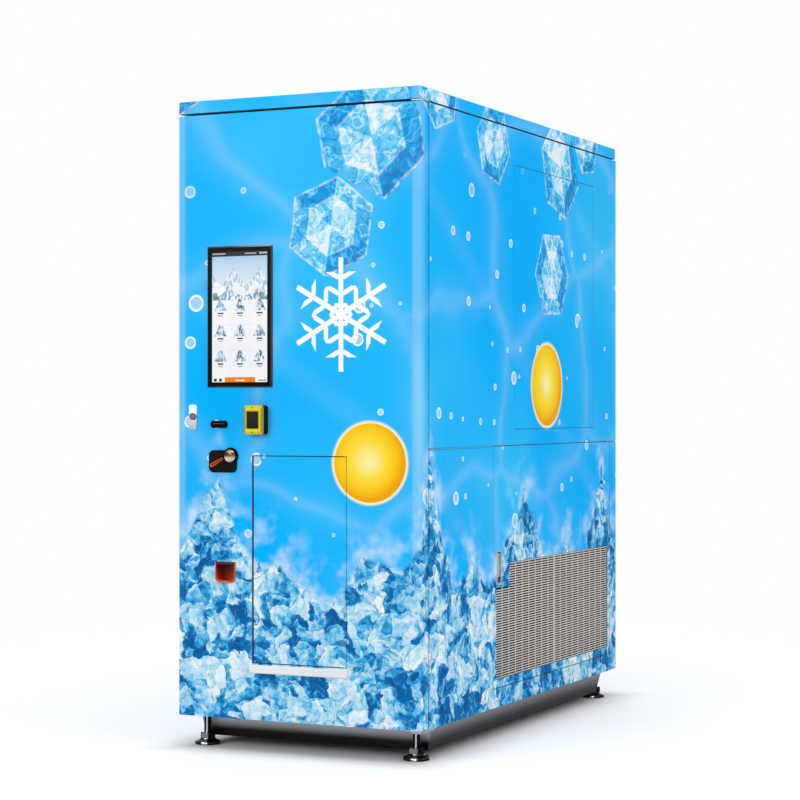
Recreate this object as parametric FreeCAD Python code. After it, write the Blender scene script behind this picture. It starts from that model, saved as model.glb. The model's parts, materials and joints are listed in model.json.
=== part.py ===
import FreeCAD, Part
import math
import os

V = FreeCAD.Vector

# Driving dimensions in millimetres.
# Widths count from the left edge of the front, depths from the front face, heights from the floor.
cabinet_width = 900.0
cabinet_depth = 1850.0
cabinet_height = 2060.0
ground_clearance = 105.0
sheet = 2.0
panel_depth = 20.0
panel_edge_radius = 3.5
corner_radius = 14.0
seat_clearance = 0.3
running_clearance = 0.05
pick_slack = 0.01

# Top cap and the shadow gap under it
cap_height = 41.0
cap_gap = 6.0
cap_rim = 80.0
cap_edge_chamfer = 3.0
roof_depth = 20.0
roof_rim = 12.0
roof_inset = 12.0

# Front door
door_thickness = 60.0
door_seam = 6.0
door_sheet = 2.5
door_end_gap = 2.0
stile_sheet = 3.0
stile_width = 60.0
stile_inset = 4.0
kick_rail = 110.0
gasket_inset = 26.0
gasket_width = 16.0
hinge_inset = 12.0
hinge_depth = 30.0
hinge_pin_radius = 8.0
hinge_pin_length = 30.0
hinge_boss_width = 30.0
hinge_boss_height = 46.0
pivot_plate_width = 36.0
pivot_plate_front = 12.0
pivot_plate_reach = 110.0
lower_pivot_plate = 8.0
upper_pivot_plate = 4.0

# Base frame, feet and plinth
rail_width = 70.0
rail_height = 60.0
tube_wall = 3.0
cross_members = 4
floor_sheet = 3.0
foot_side_inset = 60.0
foot_end_inset = 98.0
foot_stem_radius = 14.0
foot_nut_flats = 50.0
foot_nut_height = 22.0
foot_pad_radius = 45.0
foot_pad_height = 20.0
foot_pad_taper = 7.0
plinth_side_inset = 20.0
plinth_lean = 16.0
plinth_low = 25.0
plinth_foot_gap = 6.0

# Inner frame
frame_depth = 40.0
jamb_width = 45.0
header_height = 60.0
sill_height = 60.0
post_size = 40.0
post_inset = 30.0
bulkhead_depth = 430.0
bulkhead_sheet = 4.0
deck_rise = 10.0
deck_swing_gap = 9.0
deck_sheet = 3.0
deck_flange = 24.0

# Right side: access panel, service door, grille, latch
side_seam_drop = 5.0
side_seam_gap = 6.0
access_near = 786.0
access_rear_margin = 263.0
access_rise = 59.0
access_drop = 127.0
access_thickness = 10.0
access_gap = 2.0
access_ledge = 12.0
service_near = 600.0
service_rear_margin = 74.0
service_rise = 4.0
service_gap = 3.0
service_pin_inset = 12.0
service_pin_depth = 6.5
service_pin_radius = 4.0
service_pin_length = 14.0
service_boss = 24.0
service_boss_height = 17.0
grille_near_margin = 21.0
grille_far_margin = 27.0
grille_rise = 28.0
grille_tall = 398.0
grille_notch_width = 124.0
grille_notch_drop = 82.0
grille_border = 5.0
grille_plate = 3.0
slot_rows = 46
slot_columns = 18
slot_height = 4.5
slat_thickness = 2.0
rib_width = 8.0
rib_middle_width = 20.0
rib_thickness = 3.0
latch_inset = 5.0
latch_width = 42.0
latch_rise = 10.0
latch_tall = 121.0
latch_depth = 17.0
latch_rim = 7.0
latch_floor = 3.0
latch_flange = 4.0
latch_flange_sheet = 2.5
latch_corner = 5.0
lever_thickness = 8.0
lever_side_gap = 1.0
lever_recess = 3.0
lever_pivot_drop = 14.0
lever_length = 82.0
lever_pin_radius = 2.5
lever_pin_length = 5.0

# Touch screen
screen_left = 116.0
screen_width = 248.0
screen_rise = 59.0
screen_tall = 470.0
screen_frame = 18.0
screen_proud = 6.0
screen_bevel = 5.0
screen_sleeve_inset = 10.0
screen_sleeve_wall = 3.0
screen_sleeve_depth = 14.0
glass_thickness = 4.0
display_depth = 40.0
display_inset = 10.0

# Card reader
reader_shift = 156.0
reader_width = 74.0
reader_rise = 65.0
reader_tall = 96.0
reader_reach = 37.0
reader_bezel_depth = 8.0
reader_corner_radius = 9.0
reader_neck_inset = 14.0
reader_neck_depth = 42.0
reader_screen_left_margin = 14.0
reader_screen_right_margin = 19.0
reader_screen_end_margin = 20.0
reader_screen_recess = 1.0
reader_screen_thickness = 3.0

# Bill slot
bill_shift = 14.0
bill_width = 63.0
bill_rise = 21.0
bill_tall = 24.0
bill_proud = 5.0
bill_corner = 6.0
bill_slot_width = 44.0
bill_slot_height = 6.0
bill_unit_margin = 8.0
bill_unit_drop = 41.0
bill_unit_rise = 85.0
bill_unit_depth = 170.0
bill_path_depth = 60.0

# Coin plate, entry, return button and cup
coin_shift = 7.0
coin_width = 106.0
coin_drop = 33.0
coin_tall = 74.0
coin_proud = 4.0
coin_corner_radius = 18.0
ear_inset = 23.0
ear_drop = 19.0
ear_radius = 28.0
button_radius = 21.0
button_dome = 8.0
button_skirt = 10.0
entry_inset = 7.0
entry_width = 48.0
entry_lift = 17.0
entry_rise = 10.0
entry_height = 22.0
entry_proud = 7.0
entry_slot_height = 6.5
entry_slot_end = 7.0
coin_hole_inset = 7.0
coin_unit_shift = 5.0
coin_unit_width = 104.0
coin_unit_rise = 11.0
coin_unit_tall = 308.0
coin_unit_near = 16.0
coin_unit_depth = 120.0
cup_shift = 23.0
cup_width = 78.0
cup_drop = 74.0
cup_tall = 70.0
cup_rim = 6.0
cup_proud = 2.0
cup_depth = 46.0
cup_wall = 2.0
cup_corner_radius = 22.0

# Key lock
lock_left = 46.0
lock_width = 29.0
lock_plate_drop = 45.0
lock_plate_rise = 39.0
lock_proud = 3.0
lock_corner = 5.0
lock_lift = 59.0
lock_radius = 10.0
lock_head_proud = 4.0
lock_head_flange = 12.0
lock_barrel_depth = 40.0
lock_cam_width = 18.0
lock_cam_length = 46.0
lock_cam_sheet = 4.0
key_slot_width = 2.6
key_slot_length = 11.0
key_slot_depth = 3.0

# Delivery outlet
outlet_left = 281.0
outlet_width = 359.0
outlet_rise = 185.0
outlet_tall = 695.0
outlet_wall = 4.0
outlet_recess = 3.0
flap_thickness = 12.0
flap_gap = 3.0
flap_free_gap = 5.0
flap_pivot_inset = 7.0
flap_pin_radius = 4.0
flap_pin_length = 6.0
flap_sheet = 2.0
flap_boss = 14.0
sill_drop = 28.0
sill_proud = 9.0
sill_edge_radius = 4.0
bay_margin = 6.0
bay_drop = 40.0
bay_rise = 15.0
bay_sheet = 3.0

# Ice store, auger and chute
bin_side_gap = 60.0
bin_rear_space = 350.0
bin_tall = 640.0
bin_wall = 20.0
bin_shoulder_rise = 320.0
trough_rise = 120.0
trough_radius = 80.0
auger_radius = 72.0
auger_pitch = 220.0
auger_flight = 5.0
auger_shaft_radius = 16.0
auger_turns = 4
auger_steps = 8
chute_half_width = 84.0
chute_depth = 130.0
chute_rise = 100.0
chute_sheet = 3.0
gearbox_size = 150.0
gearbox_depth = 90.0
motor_radius = 55.0
motor_length = 130.0
maker_setback = 206.0
maker_headroom = 38.0
maker_wall = 4.0
maker_flange = 6.0
maker_port_inset = 120.0

# Cooling unit behind the grille
fan_tank_gap = 50.0
fan_radius = 178.0
fan_orifice_gap = 7.0
fan_setback = 30.0
fan_hub_radius = 62.0
fan_motor_gap = 6.0
fan_hub_length = 36.0
fan_blades = 5
fan_blade_width = 110.0
fan_root_ratio = 0.6
fan_blade_sheet = 3.0
fan_blade_angle = 28.0
fan_shaft_radius = 6.0
fan_shaft_length = 20.0
shroud_half_width = 270.0
shroud_tall = 464.0
shroud_side_gap = 100.0
shroud_sheet = 3.0
spider_width = 16.0
spider_thickness = 6.0
fan_motor_radius = 50.0
fan_motor_length = 70.0
coil_setback = 240.0
coil_thickness = 90.0
coil_fins = 36
coil_fin_sheet = 2.0
coil_core = 40.0
compressor_side_gap = 265.0
compressor_coil_gap = 165.0
compressor_radius = 95.0
compressor_height = 250.0
compressor_plate = 5.0
compressor_foot = 85.0
mount_half = 16.0
mount_height = 26.0
pipe_radius = 6.0
pipe_rise = 50.0
pipe_bend = 45.0
pipe_offset = 30.0

# Water side and control
tank_rear_gap = 115.0
tank_length = 235.0
tank_side_gap = 100.0
tank_width = 240.0
tank_tall = 302.0
tank_corner = 18.0
tank_lid = 14.0
tank_lid_lip = 6.0
filter_count = 2
filter_radius = 52.0
filter_length = 250.0
filter_head_lip = 6.0
filter_head = 60.0
filter_lead = 100.0
filter_spacing = 150.0
filter_side_gap = 160.0
control_setback = 206.0
control_length = 460.0
control_side_gap = 90.0
control_width = 190.0
control_tall = 310.0
control_lid = 8.0
control_lid_inset = 14.0

# Rear fittings
fitting_reach = 25.0
fitting_collar = 5.0
fitting_collar_lip = 9.0
inlet_radius = 13.0
inlet_across = 300.0
inlet_height = 330.0
drain_radius = 16.0
drain_across = 420.0
drain_height = 200.0
gland_radius = 15.0
gland_across = 180.0
gland_height = 330.0
gland_bore = 6.0
gland_flats = 40.0
vent_rows = 9
vent_columns = 2
vent_width = 220.0
vent_height = 8.0
vent_pitch_across = 270.0
vent_pitch_up = 24.0
vent_low = 480.0

# Worked-out places
left_x = -cabinet_width / 2
front_y = -(cabinet_depth + fitting_reach - reader_reach) / 2
cabinet_top = ground_clearance + cabinet_height
cap_bottom = cabinet_top - cap_height
shell_top = cap_bottom - cap_gap
shell_front = door_thickness + door_seam
inner_left = panel_depth
inner_right = cabinet_width - panel_depth
inner_rear = cabinet_depth - panel_depth
floor_level = ground_clearance + rail_height + floor_sheet
roof_underside = shell_top - roof_depth
door_low = ground_clearance + door_end_gap
door_high = shell_top - door_end_gap
door_back = door_thickness - stile_sheet
hinge_across = cabinet_width - hinge_inset
outlet_right = outlet_left + outlet_width
outlet_low = ground_clearance + outlet_rise
outlet_high = outlet_low + outlet_tall
sill_low = outlet_low - sill_drop
bay_low = outlet_low - bay_drop
bay_high = outlet_high + bay_rise
deck_height = bay_high + deck_rise
flap_axis_across = outlet_right - outlet_wall - flap_gap - flap_pivot_inset
flap_axis_depth = outlet_recess + flap_thickness / 2
screen_right = screen_left + screen_width
reader_left = screen_left + reader_shift
reader_right = reader_left + reader_width
reader_low = outlet_high + reader_rise
reader_high = reader_low + reader_tall
reader_screen_left = reader_left + reader_screen_left_margin
reader_screen_right = reader_right - reader_screen_right_margin
reader_screen_low = reader_low + reader_screen_end_margin
reader_screen_high = reader_high - reader_screen_end_margin
screen_low = reader_high + screen_rise
screen_high = screen_low + screen_tall
bill_left = screen_left + bill_shift
bill_right = bill_left + bill_width
bill_low = reader_low + bill_rise
bill_high = bill_low + bill_tall
bill_unit_left = bill_left - bill_unit_margin
bill_unit_right = bill_right + bill_unit_margin
bill_unit_low = bill_low - bill_unit_drop
bill_unit_high = bill_high + bill_unit_rise
coin_left = bill_left - coin_shift
coin_right = coin_left + coin_width
coin_high = bill_unit_low - coin_drop
coin_low = coin_high - coin_tall
ear_across = coin_right - ear_inset
ear_height = coin_high - ear_drop
entry_left = coin_left + entry_inset
entry_right = entry_left + entry_width
entry_low = coin_low + entry_lift
coin_unit_left = coin_left + coin_unit_shift
coin_unit_right = coin_unit_left + coin_unit_width
coin_unit_high = coin_high + coin_unit_rise
coin_unit_low = coin_unit_high - coin_unit_tall
cup_left = coin_left + cup_shift
cup_right = cup_left + cup_width
cup_high = coin_unit_low - cup_drop
cup_low = cup_high - cup_tall
lock_right = lock_left + lock_width
lock_across = (lock_left + lock_right) / 2
lock_height = reader_low + lock_lift
lock_low = lock_height - lock_plate_drop
lock_high = lock_height + lock_plate_rise
side_seam_height = deck_height - side_seam_drop
lower_side_top = side_seam_height - side_seam_gap / 2
upper_side_low = side_seam_height + side_seam_gap / 2
access_far = cabinet_depth - access_rear_margin
access_low = side_seam_height + access_rise
access_high = shell_top - access_drop
service_far = cabinet_depth - service_rear_margin
service_low = floor_level + service_rise
service_high = upper_side_low - service_gap
service_axis_depth = service_far - service_pin_inset
service_axis_across = cabinet_width - service_pin_depth
grille_near = service_near + grille_near_margin
grille_far = service_far - grille_far_margin
grille_low = service_low + grille_rise
grille_high = grille_low + grille_tall
grille_notch_far = grille_near + grille_notch_width
grille_notch_low = grille_high - grille_notch_drop
latch_near = grille_near + latch_inset
latch_far = latch_near + latch_width
latch_low = grille_notch_low + latch_rise
latch_high = latch_low + latch_tall
bin_left = bin_side_gap
bin_right = cabinet_width - bin_side_gap
bin_front = bulkhead_depth + bulkhead_sheet
bin_rear = cabinet_depth - bin_rear_space
bin_shoulder = deck_height + bin_shoulder_rise
bin_high = deck_height + bin_tall
trough_across = cabinet_width / 2
trough_height = deck_height + trough_rise
chute_high = trough_height + chute_rise
auger_start = bulkhead_depth - chute_depth / 2
maker_near = bin_front + maker_setback
maker_high = roof_underside - maker_headroom
tank_far = cabinet_depth - tank_rear_gap
tank_near = tank_far - tank_length
tank_right = cabinet_width - tank_side_gap
tank_left = tank_right - tank_width
tank_high = floor_level + tank_tall
fan_depth = tank_near - fan_tank_gap - shroud_half_width
shroud_low = floor_level
shroud_high = shroud_low + shroud_tall
shroud_across = cabinet_width - shroud_side_gap
fan_height = (shroud_low + shroud_high) / 2
fan_across = shroud_across - fan_setback
coil_across = shroud_across - coil_setback
compressor_across = cabinet_width - compressor_side_gap
compressor_depth = fan_depth - shroud_half_width - compressor_coil_gap
filter_near = tank_near - filter_lead
filter_across = cabinet_width - filter_side_gap
control_near = bin_front + control_setback
control_far = control_near + control_length
control_right = cabinet_width - control_side_gap
control_left = control_right - control_width
control_low = deck_height - control_tall
octagon_leg = 2 - math.sqrt(2)


# Building blocks: every place is (across, depth, height)
def place(across, depth, height):
    return V(left_x + across, front_y + depth, height)


def block(left, right, near, far, low, high):
    return Part.makeBox(right - left, far - near, high - low, place(left, near, low))


def rod_across(depth, height, radius, left, right):
    return Part.makeCylinder(radius, right - left, place(left, depth, height), V(1, 0, 0))


def rod_deep(across, height, radius, near, far):
    return Part.makeCylinder(radius, far - near, place(across, near, height), V(0, 1, 0))


def rod_up(across, depth, radius, low, high):
    return Part.makeCylinder(radius, high - low, place(across, depth, low), V(0, 0, 1))


def parallel_edges(shape, direction, wanted=None):
    found = []
    for edge in shape.Edges:
        if not isinstance(edge.Curve, Part.Line):
            continue
        if edge.Curve.Direction.cross(direction).Length > 1e-6:
            continue
        if wanted is None or wanted(edge.CenterOfMass):
            found.append(edge)
    return found


def rounded(shape, radius, direction, wanted=None):
    return shape.makeFillet(radius, parallel_edges(shape, direction, wanted))


def clipped(shape, size, direction, wanted=None):
    return shape.makeChamfer(size, parallel_edges(shape, direction, wanted))


def flat_face(*corners):
    return Part.Face(Part.makePolygon(list(corners) + [corners[0]]))


def prism_deep(points, near, far):
    corners = [place(across, near, height) for across, height in points]
    return flat_face(*corners).extrude(V(0, far - near, 0))


def prism_across(points, left, right):
    corners = [place(left, depth, height) for depth, height in points]
    return flat_face(*corners).extrude(V(right - left, 0, 0))


def prism_up(points, low, high):
    corners = [place(across, depth, low) for across, depth in points]
    return flat_face(*corners).extrude(V(0, 0, high - low))


def hexagon(flats):
    corner = flats / math.sqrt(3)
    turns = [math.tau * step / 6 for step in range(6)]
    return [(corner * math.cos(turn), corner * math.sin(turn)) for turn in turns]


def joined(first, *others):
    return first.fuse(list(others)).removeSplitter()


def group(solids):
    return Part.makeCompound(solids)


def save(name, shape):
    shape.exportStep(os.path.join("parts", name + ".step"))


# Cabinet shell
def top_cap():
    cap = block(0, cabinet_width, 0, cabinet_depth, cap_bottom, cabinet_top)
    cap = rounded(cap, corner_radius, V(0, 0, 1))
    top_edges = [edge for edge in cap.Edges if edge.CenterOfMass.z > cabinet_top - pick_slack]
    cap = cap.makeChamfer(cap_edge_chamfer, top_edges)
    hollow = block(sheet, cabinet_width - sheet, sheet, cabinet_depth - sheet,
                   cap_bottom + sheet, cabinet_top - sheet)
    hollow = rounded(hollow, corner_radius - sheet, V(0, 0, 1))
    window = block(cap_rim, cabinet_width - cap_rim, cap_rim, cabinet_depth - cap_rim,
                   cap_bottom, cap_bottom + sheet)
    return cap.cut([hollow, window])


def roof_panel():
    tray = block(inner_left, inner_right, shell_front, inner_rear, roof_underside, shell_top)
    spacer = block(roof_inset, cabinet_width - roof_inset, shell_front, cabinet_depth - roof_inset,
                   shell_top, cap_bottom)
    hollow = block(inner_left + roof_rim, inner_right - roof_rim, shell_front + roof_rim,
                   inner_rear - roof_rim, roof_underside, cap_bottom - sheet)
    return joined(tray, spacer).cut(hollow)


def side_tray(left, right, hollow_left, hollow_right, near, far, low, high):
    tray = block(left, right, near, far, low, high)
    hollow = block(hollow_left, hollow_right, near + sheet, far - sheet, low + sheet, high - sheet)
    return tray, hollow


def left_side_skin():
    tray, hollow = side_tray(0, panel_depth, sheet, panel_depth, shell_front, cabinet_depth,
                             ground_clearance, shell_top)
    outer = left_x + pick_slack
    tray = rounded(tray, panel_edge_radius, V(0, 0, 1), lambda centre: centre.x < outer)
    return tray.cut(hollow)


def access_window(grow, near_face, far_face):
    return block(near_face, far_face, access_near - grow, access_far + grow,
                 access_low - grow, access_high + grow)


def right_upper_skin():
    tray, hollow = side_tray(inner_right, cabinet_width, inner_right, cabinet_width - sheet,
                             shell_front, cabinet_depth, upper_side_low, shell_top)
    outer = left_x + cabinet_width - pick_slack
    tray = rounded(tray, panel_edge_radius, V(0, 0, 1), lambda centre: centre.x > outer)
    skin = tray.cut(hollow)
    seat = cabinet_width - access_thickness
    recess = access_window(access_gap + sheet, seat - sheet, cabinet_width)
    boss = block(inner_right, cabinet_width - sheet, service_far - service_boss, service_far,
                 upper_side_low, upper_side_low + service_boss)
    skin = joined(skin, recess, boss)
    hole = rod_up(service_axis_across, service_axis_depth, service_pin_radius,
                  upper_side_low, upper_side_low + service_pin_length)
    opening = access_window(access_gap, seat, cabinet_width)
    light = access_window(-access_ledge, seat - sheet, seat)
    return skin.cut([opening, light, hole])


def upper_access_panel():
    seat = cabinet_width - access_thickness
    panel = access_window(0, seat, cabinet_width)
    hollow = access_window(-sheet, seat, cabinet_width - sheet)
    outer = left_x + cabinet_width - pick_slack
    panel = rounded(panel, sheet / 2, V(0, 0, 1), lambda centre: centre.x > outer)
    return panel.cut(hollow)


def right_lower_skin():
    skin = block(inner_right, cabinet_width, shell_front, cabinet_depth, ground_clearance, lower_side_top)
    outer = left_x + cabinet_width - pick_slack
    skin = rounded(skin, panel_edge_radius, V(0, 0, 1), lambda centre: centre.x > outer)
    opening_near = service_near - service_gap
    opening_far = service_far + service_gap
    opening_low = service_low - service_gap
    opening = block(inner_right, cabinet_width, opening_near, opening_far, opening_low, lower_side_top)
    back = inner_right
    front = cabinet_width - sheet
    hollow_near = block(back, front, shell_front + sheet, opening_near - sheet,
                        ground_clearance + sheet, lower_side_top - sheet)
    hollow_low = block(back, front, opening_near, service_far - service_boss,
                       ground_clearance + sheet, opening_low - sheet)
    hollow_far = block(back, front, opening_far + sheet, cabinet_depth - sheet,
                       ground_clearance + sheet, lower_side_top - sheet)
    hole = rod_up(service_axis_across, service_axis_depth, service_pin_radius,
                  opening_low - service_pin_length, opening_low)
    return skin.cut([opening, hollow_near, hollow_low, hollow_far, hole])


def rear_skin():
    skin = block(inner_left, inner_right, inner_rear, cabinet_depth, ground_clearance, shell_top)
    hollow = block(inner_left + sheet, inner_right - sheet, inner_rear, cabinet_depth - sheet,
                   ground_clearance + sheet, shell_top - sheet)
    cuts = [hollow]
    middle = cabinet_width / 2
    for column in range(vent_columns):
        across = middle + (column - (vent_columns - 1) / 2) * vent_pitch_across
        for row in range(vent_rows):
            low = vent_low + row * vent_pitch_up
            cuts.append(block(across - vent_width / 2, across + vent_width / 2,
                              cabinet_depth - sheet, cabinet_depth, low, low + vent_height))
    for across, height, radius in rear_holes():
        cuts.append(rod_deep(across, height, radius + seat_clearance, cabinet_depth - sheet, cabinet_depth))
    return skin.cut(cuts)


def rear_holes():
    return [(inlet_across, inlet_height, inlet_radius),
            (drain_across, drain_height, drain_radius),
            (gland_across, gland_height, gland_radius)]


# Base, feet and inner frame
def tube_deep(left, near, far):
    low = ground_clearance
    rail = block(left, left + rail_width, near, far, low, low + rail_height)
    bore = block(left + tube_wall, left + rail_width - tube_wall, near, far,
                 low + tube_wall, low + rail_height - tube_wall)
    return rail.cut(bore)


def tube_across(near):
    low = ground_clearance
    left = inner_left + rail_width
    right = inner_right - rail_width
    rail = block(left, right, near, near + rail_width, low, low + rail_height)
    bore = block(left, right, near + tube_wall, near + rail_width - tube_wall,
                 low + tube_wall, low + rail_height - tube_wall)
    return rail.cut(bore)


def base_frame():
    solids = [tube_deep(inner_left, shell_front, inner_rear),
              tube_deep(inner_right - rail_width, shell_front, inner_rear)]
    spacing = (inner_rear - rail_width - shell_front) / (cross_members - 1)
    for number in range(cross_members):
        solids.append(tube_across(shell_front + number * spacing))
    solids.append(block(inner_left, inner_right, shell_front, inner_rear,
                        ground_clearance + rail_height, floor_level))
    return group(solids)


def foot_places():
    places = []
    for across in (foot_side_inset, cabinet_width - foot_side_inset):
        for depth in (foot_end_inset, cabinet_depth - foot_end_inset):
            places.append((across, depth))
    return places


def foot_pad(across, depth):
    edge_height = foot_pad_height - foot_pad_taper
    profile = flat_face(V(0, 0, 0), V(foot_pad_radius, 0, 0), V(foot_pad_radius, 0, edge_height),
                        V(foot_nut_flats / 2, 0, foot_pad_height), V(0, 0, foot_pad_height))
    pad = profile.revolve(V(0, 0, 0), V(0, 0, 1), 360)
    pad.translate(place(across, depth, 0))
    return pad


def foot_nut(across, depth):
    centre = place(across, depth, foot_pad_height)
    corners = [centre + V(x, y, 0) for x, y in hexagon(foot_nut_flats)]
    return flat_face(*corners).extrude(V(0, 0, foot_nut_height))


def foot_stem(across, depth):
    return rod_up(across, depth, foot_stem_radius, foot_pad_height + foot_nut_height, ground_clearance)


def base_plinth():
    top = ground_clearance
    near = foot_end_inset + foot_stem_radius + plinth_foot_gap
    far = cabinet_depth - near
    left = plinth_side_inset
    right = cabinet_width - left
    mitre = plinth_lean + sheet
    middle = place(cabinet_width / 2, cabinet_depth / 2, 0)

    def leaning(outer):
        foot = outer + plinth_lean
        return [(outer, top), (outer + sheet, top), (foot + sheet, plinth_low), (foot, plinth_low)]

    front_plan = prism_up([(left, near), (right, near), (right - mitre, near + mitre),
                           (left + mitre, near + mitre)], plinth_low, top)
    side_plan = prism_up([(left, near), (left + mitre, near + mitre), (left + mitre, far - mitre),
                          (left, far)], plinth_low, top)
    front = prism_across(leaning(near), left, right).common(front_plan)
    left_side = prism_deep(leaning(left), near, far).common(side_plan)
    rear = front.mirror(middle, V(0, 1, 0))
    right_side = left_side.mirror(middle, V(1, 0, 0))
    return group([front, rear, left_side, right_side])


def front_frame():
    near = shell_front
    far = shell_front + frame_depth
    left = inner_left + jamb_width
    right = inner_right - jamb_width

    def jamb(start):
        tube = block(start, start + jamb_width, near, far, floor_level, roof_underside)
        core = block(start + tube_wall, start + jamb_width - tube_wall, near + tube_wall, far - tube_wall,
                     floor_level, roof_underside)
        return tube.cut(core)

    def rail(low, high):
        tube = block(left, right, near, far, low, high)
        core = block(left, right, near + tube_wall, far - tube_wall, low + tube_wall, high - tube_wall)
        return tube.cut(core)

    return group([jamb(inner_left), jamb(right), rail(roof_underside - header_height, roof_underside),
                  rail(floor_level, floor_level + sill_height)])


def rear_posts():
    far = inner_rear
    near = far - post_size
    posts = []
    for left in (post_inset, cabinet_width - post_inset - post_size):
        post = block(left, left + post_size, near, far, floor_level, roof_underside)
        bore = block(left + tube_wall, left + post_size - tube_wall, near + tube_wall, far - tube_wall,
                     floor_level, roof_underside)
        posts.append(post.cut(bore))
    return group(posts)


def front_bulkhead():
    plate = block(inner_left, inner_right, bulkhead_depth, bulkhead_depth + bulkhead_sheet,
                  floor_level, roof_underside)
    return plate.cut(rod_deep(trough_across, trough_height, trough_radius,
                              bulkhead_depth, bulkhead_depth + bulkhead_sheet))


def mid_deck():
    near = bulkhead_depth + bulkhead_sheet
    far = inner_rear - post_size
    low = deck_height - deck_flange
    right = inner_right - deck_swing_gap
    deck = block(inner_left, right, near, far, low, deck_height + deck_sheet)
    hollow = block(inner_left + deck_sheet, right - deck_sheet, near + deck_sheet, far - deck_sheet,
                   low, deck_height)
    return deck.cut(hollow)


def pivot_pins():
    left = hinge_across - pivot_plate_width + hinge_inset - sheet
    right = cabinet_width - sheet
    lower = block(left, right, pivot_plate_front, pivot_plate_reach,
                  ground_clearance - lower_pivot_plate, ground_clearance)
    lower_pin = rod_up(hinge_across, hinge_depth, hinge_pin_radius, ground_clearance,
                       door_low + hinge_pin_length)
    upper = block(left, right, pivot_plate_front, shell_front, cap_bottom - upper_pivot_plate, cap_bottom)
    upper_pin = rod_up(hinge_across, hinge_depth, hinge_pin_radius, door_high - hinge_pin_length,
                       cap_bottom - upper_pivot_plate)
    opening_low = service_low - service_gap
    side_low = rod_up(service_axis_across, service_axis_depth, service_pin_radius,
                      opening_low - service_pin_length, service_low + service_pin_length)
    side_high = rod_up(service_axis_across, service_axis_depth, service_pin_radius,
                       service_high - service_pin_length, upper_side_low + service_pin_length)
    return group([joined(lower, lower_pin), joined(upper, upper_pin), side_low, side_high])


# Front door
def screen_cutout(grow, near, far):
    inset = screen_sleeve_inset - grow
    return block(screen_left + inset, screen_right - inset, near, far,
                 screen_low + inset, screen_high - inset)


def reader_neck(grow, near, far):
    inset = reader_neck_inset - grow
    return block(reader_left + inset, reader_right - inset, near, far,
                 reader_low + inset, reader_high - inset)


def bill_slot(grow, near, far):
    across = (bill_left + bill_right) / 2
    height = (bill_low + bill_high) / 2
    half_width = bill_slot_width / 2 + grow
    half_height = bill_slot_height / 2 + grow
    return block(across - half_width, across + half_width, near, far,
                 height - half_height, height + half_height)


def coin_hole(near, far):
    return block(coin_left + coin_hole_inset, ear_across - button_radius - coin_hole_inset, near, far,
                 coin_low + coin_hole_inset, coin_high - coin_hole_inset)


def cup_body(grow, near, far):
    body = block(cup_left + cup_rim - grow, cup_right - cup_rim + grow, near, far,
                 cup_low + cup_rim - grow, cup_high - cup_rim + grow)
    lower = cup_high - cup_rim
    return rounded(body, cup_corner_radius - cup_rim + grow, V(0, 1, 0),
                   lambda centre: centre.z < (cup_low + lower) / 2)


def outlet_opening(grow, near, far):
    return block(outlet_left - grow, outlet_right + grow, near, far, outlet_low - grow, outlet_high + grow)


def bill_unit_space(grow, near, far):
    return block(bill_unit_left - grow, bill_unit_right + grow, near, far,
                 bill_unit_low - grow, bill_unit_high + grow)


def coin_unit_space(grow, near, far):
    return block(coin_unit_left - grow, coin_unit_right + grow, near, far,
                 coin_unit_low - grow, coin_unit_high + grow)


def hole_span(cutter):
    box = cutter.BoundBox
    return box.XMin - left_x, box.XMax - left_x, box.ZMin, box.ZMax


# A flat sheet laid as plates round its holes, so that the collision hulls leave every hole open
def plates_round(left, right, low, high, holes):
    if right - left < pick_slack or high - low < pick_slack:
        return []
    inside = [hole for hole in holes
              if hole[0] < right - pick_slack and hole[1] > left + pick_slack
              and hole[2] < high - pick_slack and hole[3] > low + pick_slack]
    if not inside:
        return [block(left, right, 0, door_sheet, low, high)]
    hole = max(inside, key=lambda span: (span[1] - span[0]) * (span[3] - span[2]))
    hole_left = max(hole[0], left)
    hole_right = min(hole[1], right)
    hole_low = max(hole[2], low)
    hole_high = min(hole[3], high)
    return (plates_round(left, right, low, hole_low, holes)
            + plates_round(left, right, hole_high, high, holes)
            + plates_round(left, hole_left, hole_low, hole_high, holes)
            + plates_round(hole_right, right, hole_low, hole_high, holes))


# Three-sided plates that turn the lower corners of a square hole, or all four, into an eight-sided one
def corner_plates(hole, leg, upper_too):
    left, right, low, high = hole
    plates = [prism_deep([(left, low), (left + leg, low), (left, low + leg)], 0, door_sheet),
              prism_deep([(right, low), (right, low + leg), (right - leg, low)], 0, door_sheet)]
    if upper_too:
        plates.append(prism_deep([(left, high), (left, high - leg), (left + leg, high)], 0, door_sheet))
        plates.append(prism_deep([(right, high), (right - leg, high), (right, high - leg)], 0, door_sheet))
    return plates


def door_end(low, high, pin_hole):
    end = block(0, cabinet_width, 0, door_back, low, high)
    end = rounded(end, corner_radius, V(0, 0, 1), lambda centre: centre.y < front_y + pick_slack)
    return end.cut(pin_hole)


def door_corner(across):
    outer = rod_up(across, corner_radius, corner_radius, door_low + door_sheet, door_high - door_sheet)
    bore = rod_up(across, corner_radius, corner_radius - door_sheet, door_low, door_high)
    outward = 0 if across < cabinet_width / 2 else across
    quarter = block(outward, outward + corner_radius, 0, corner_radius, door_low, door_high)
    return outer.cut(bore).common(quarter)


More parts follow.
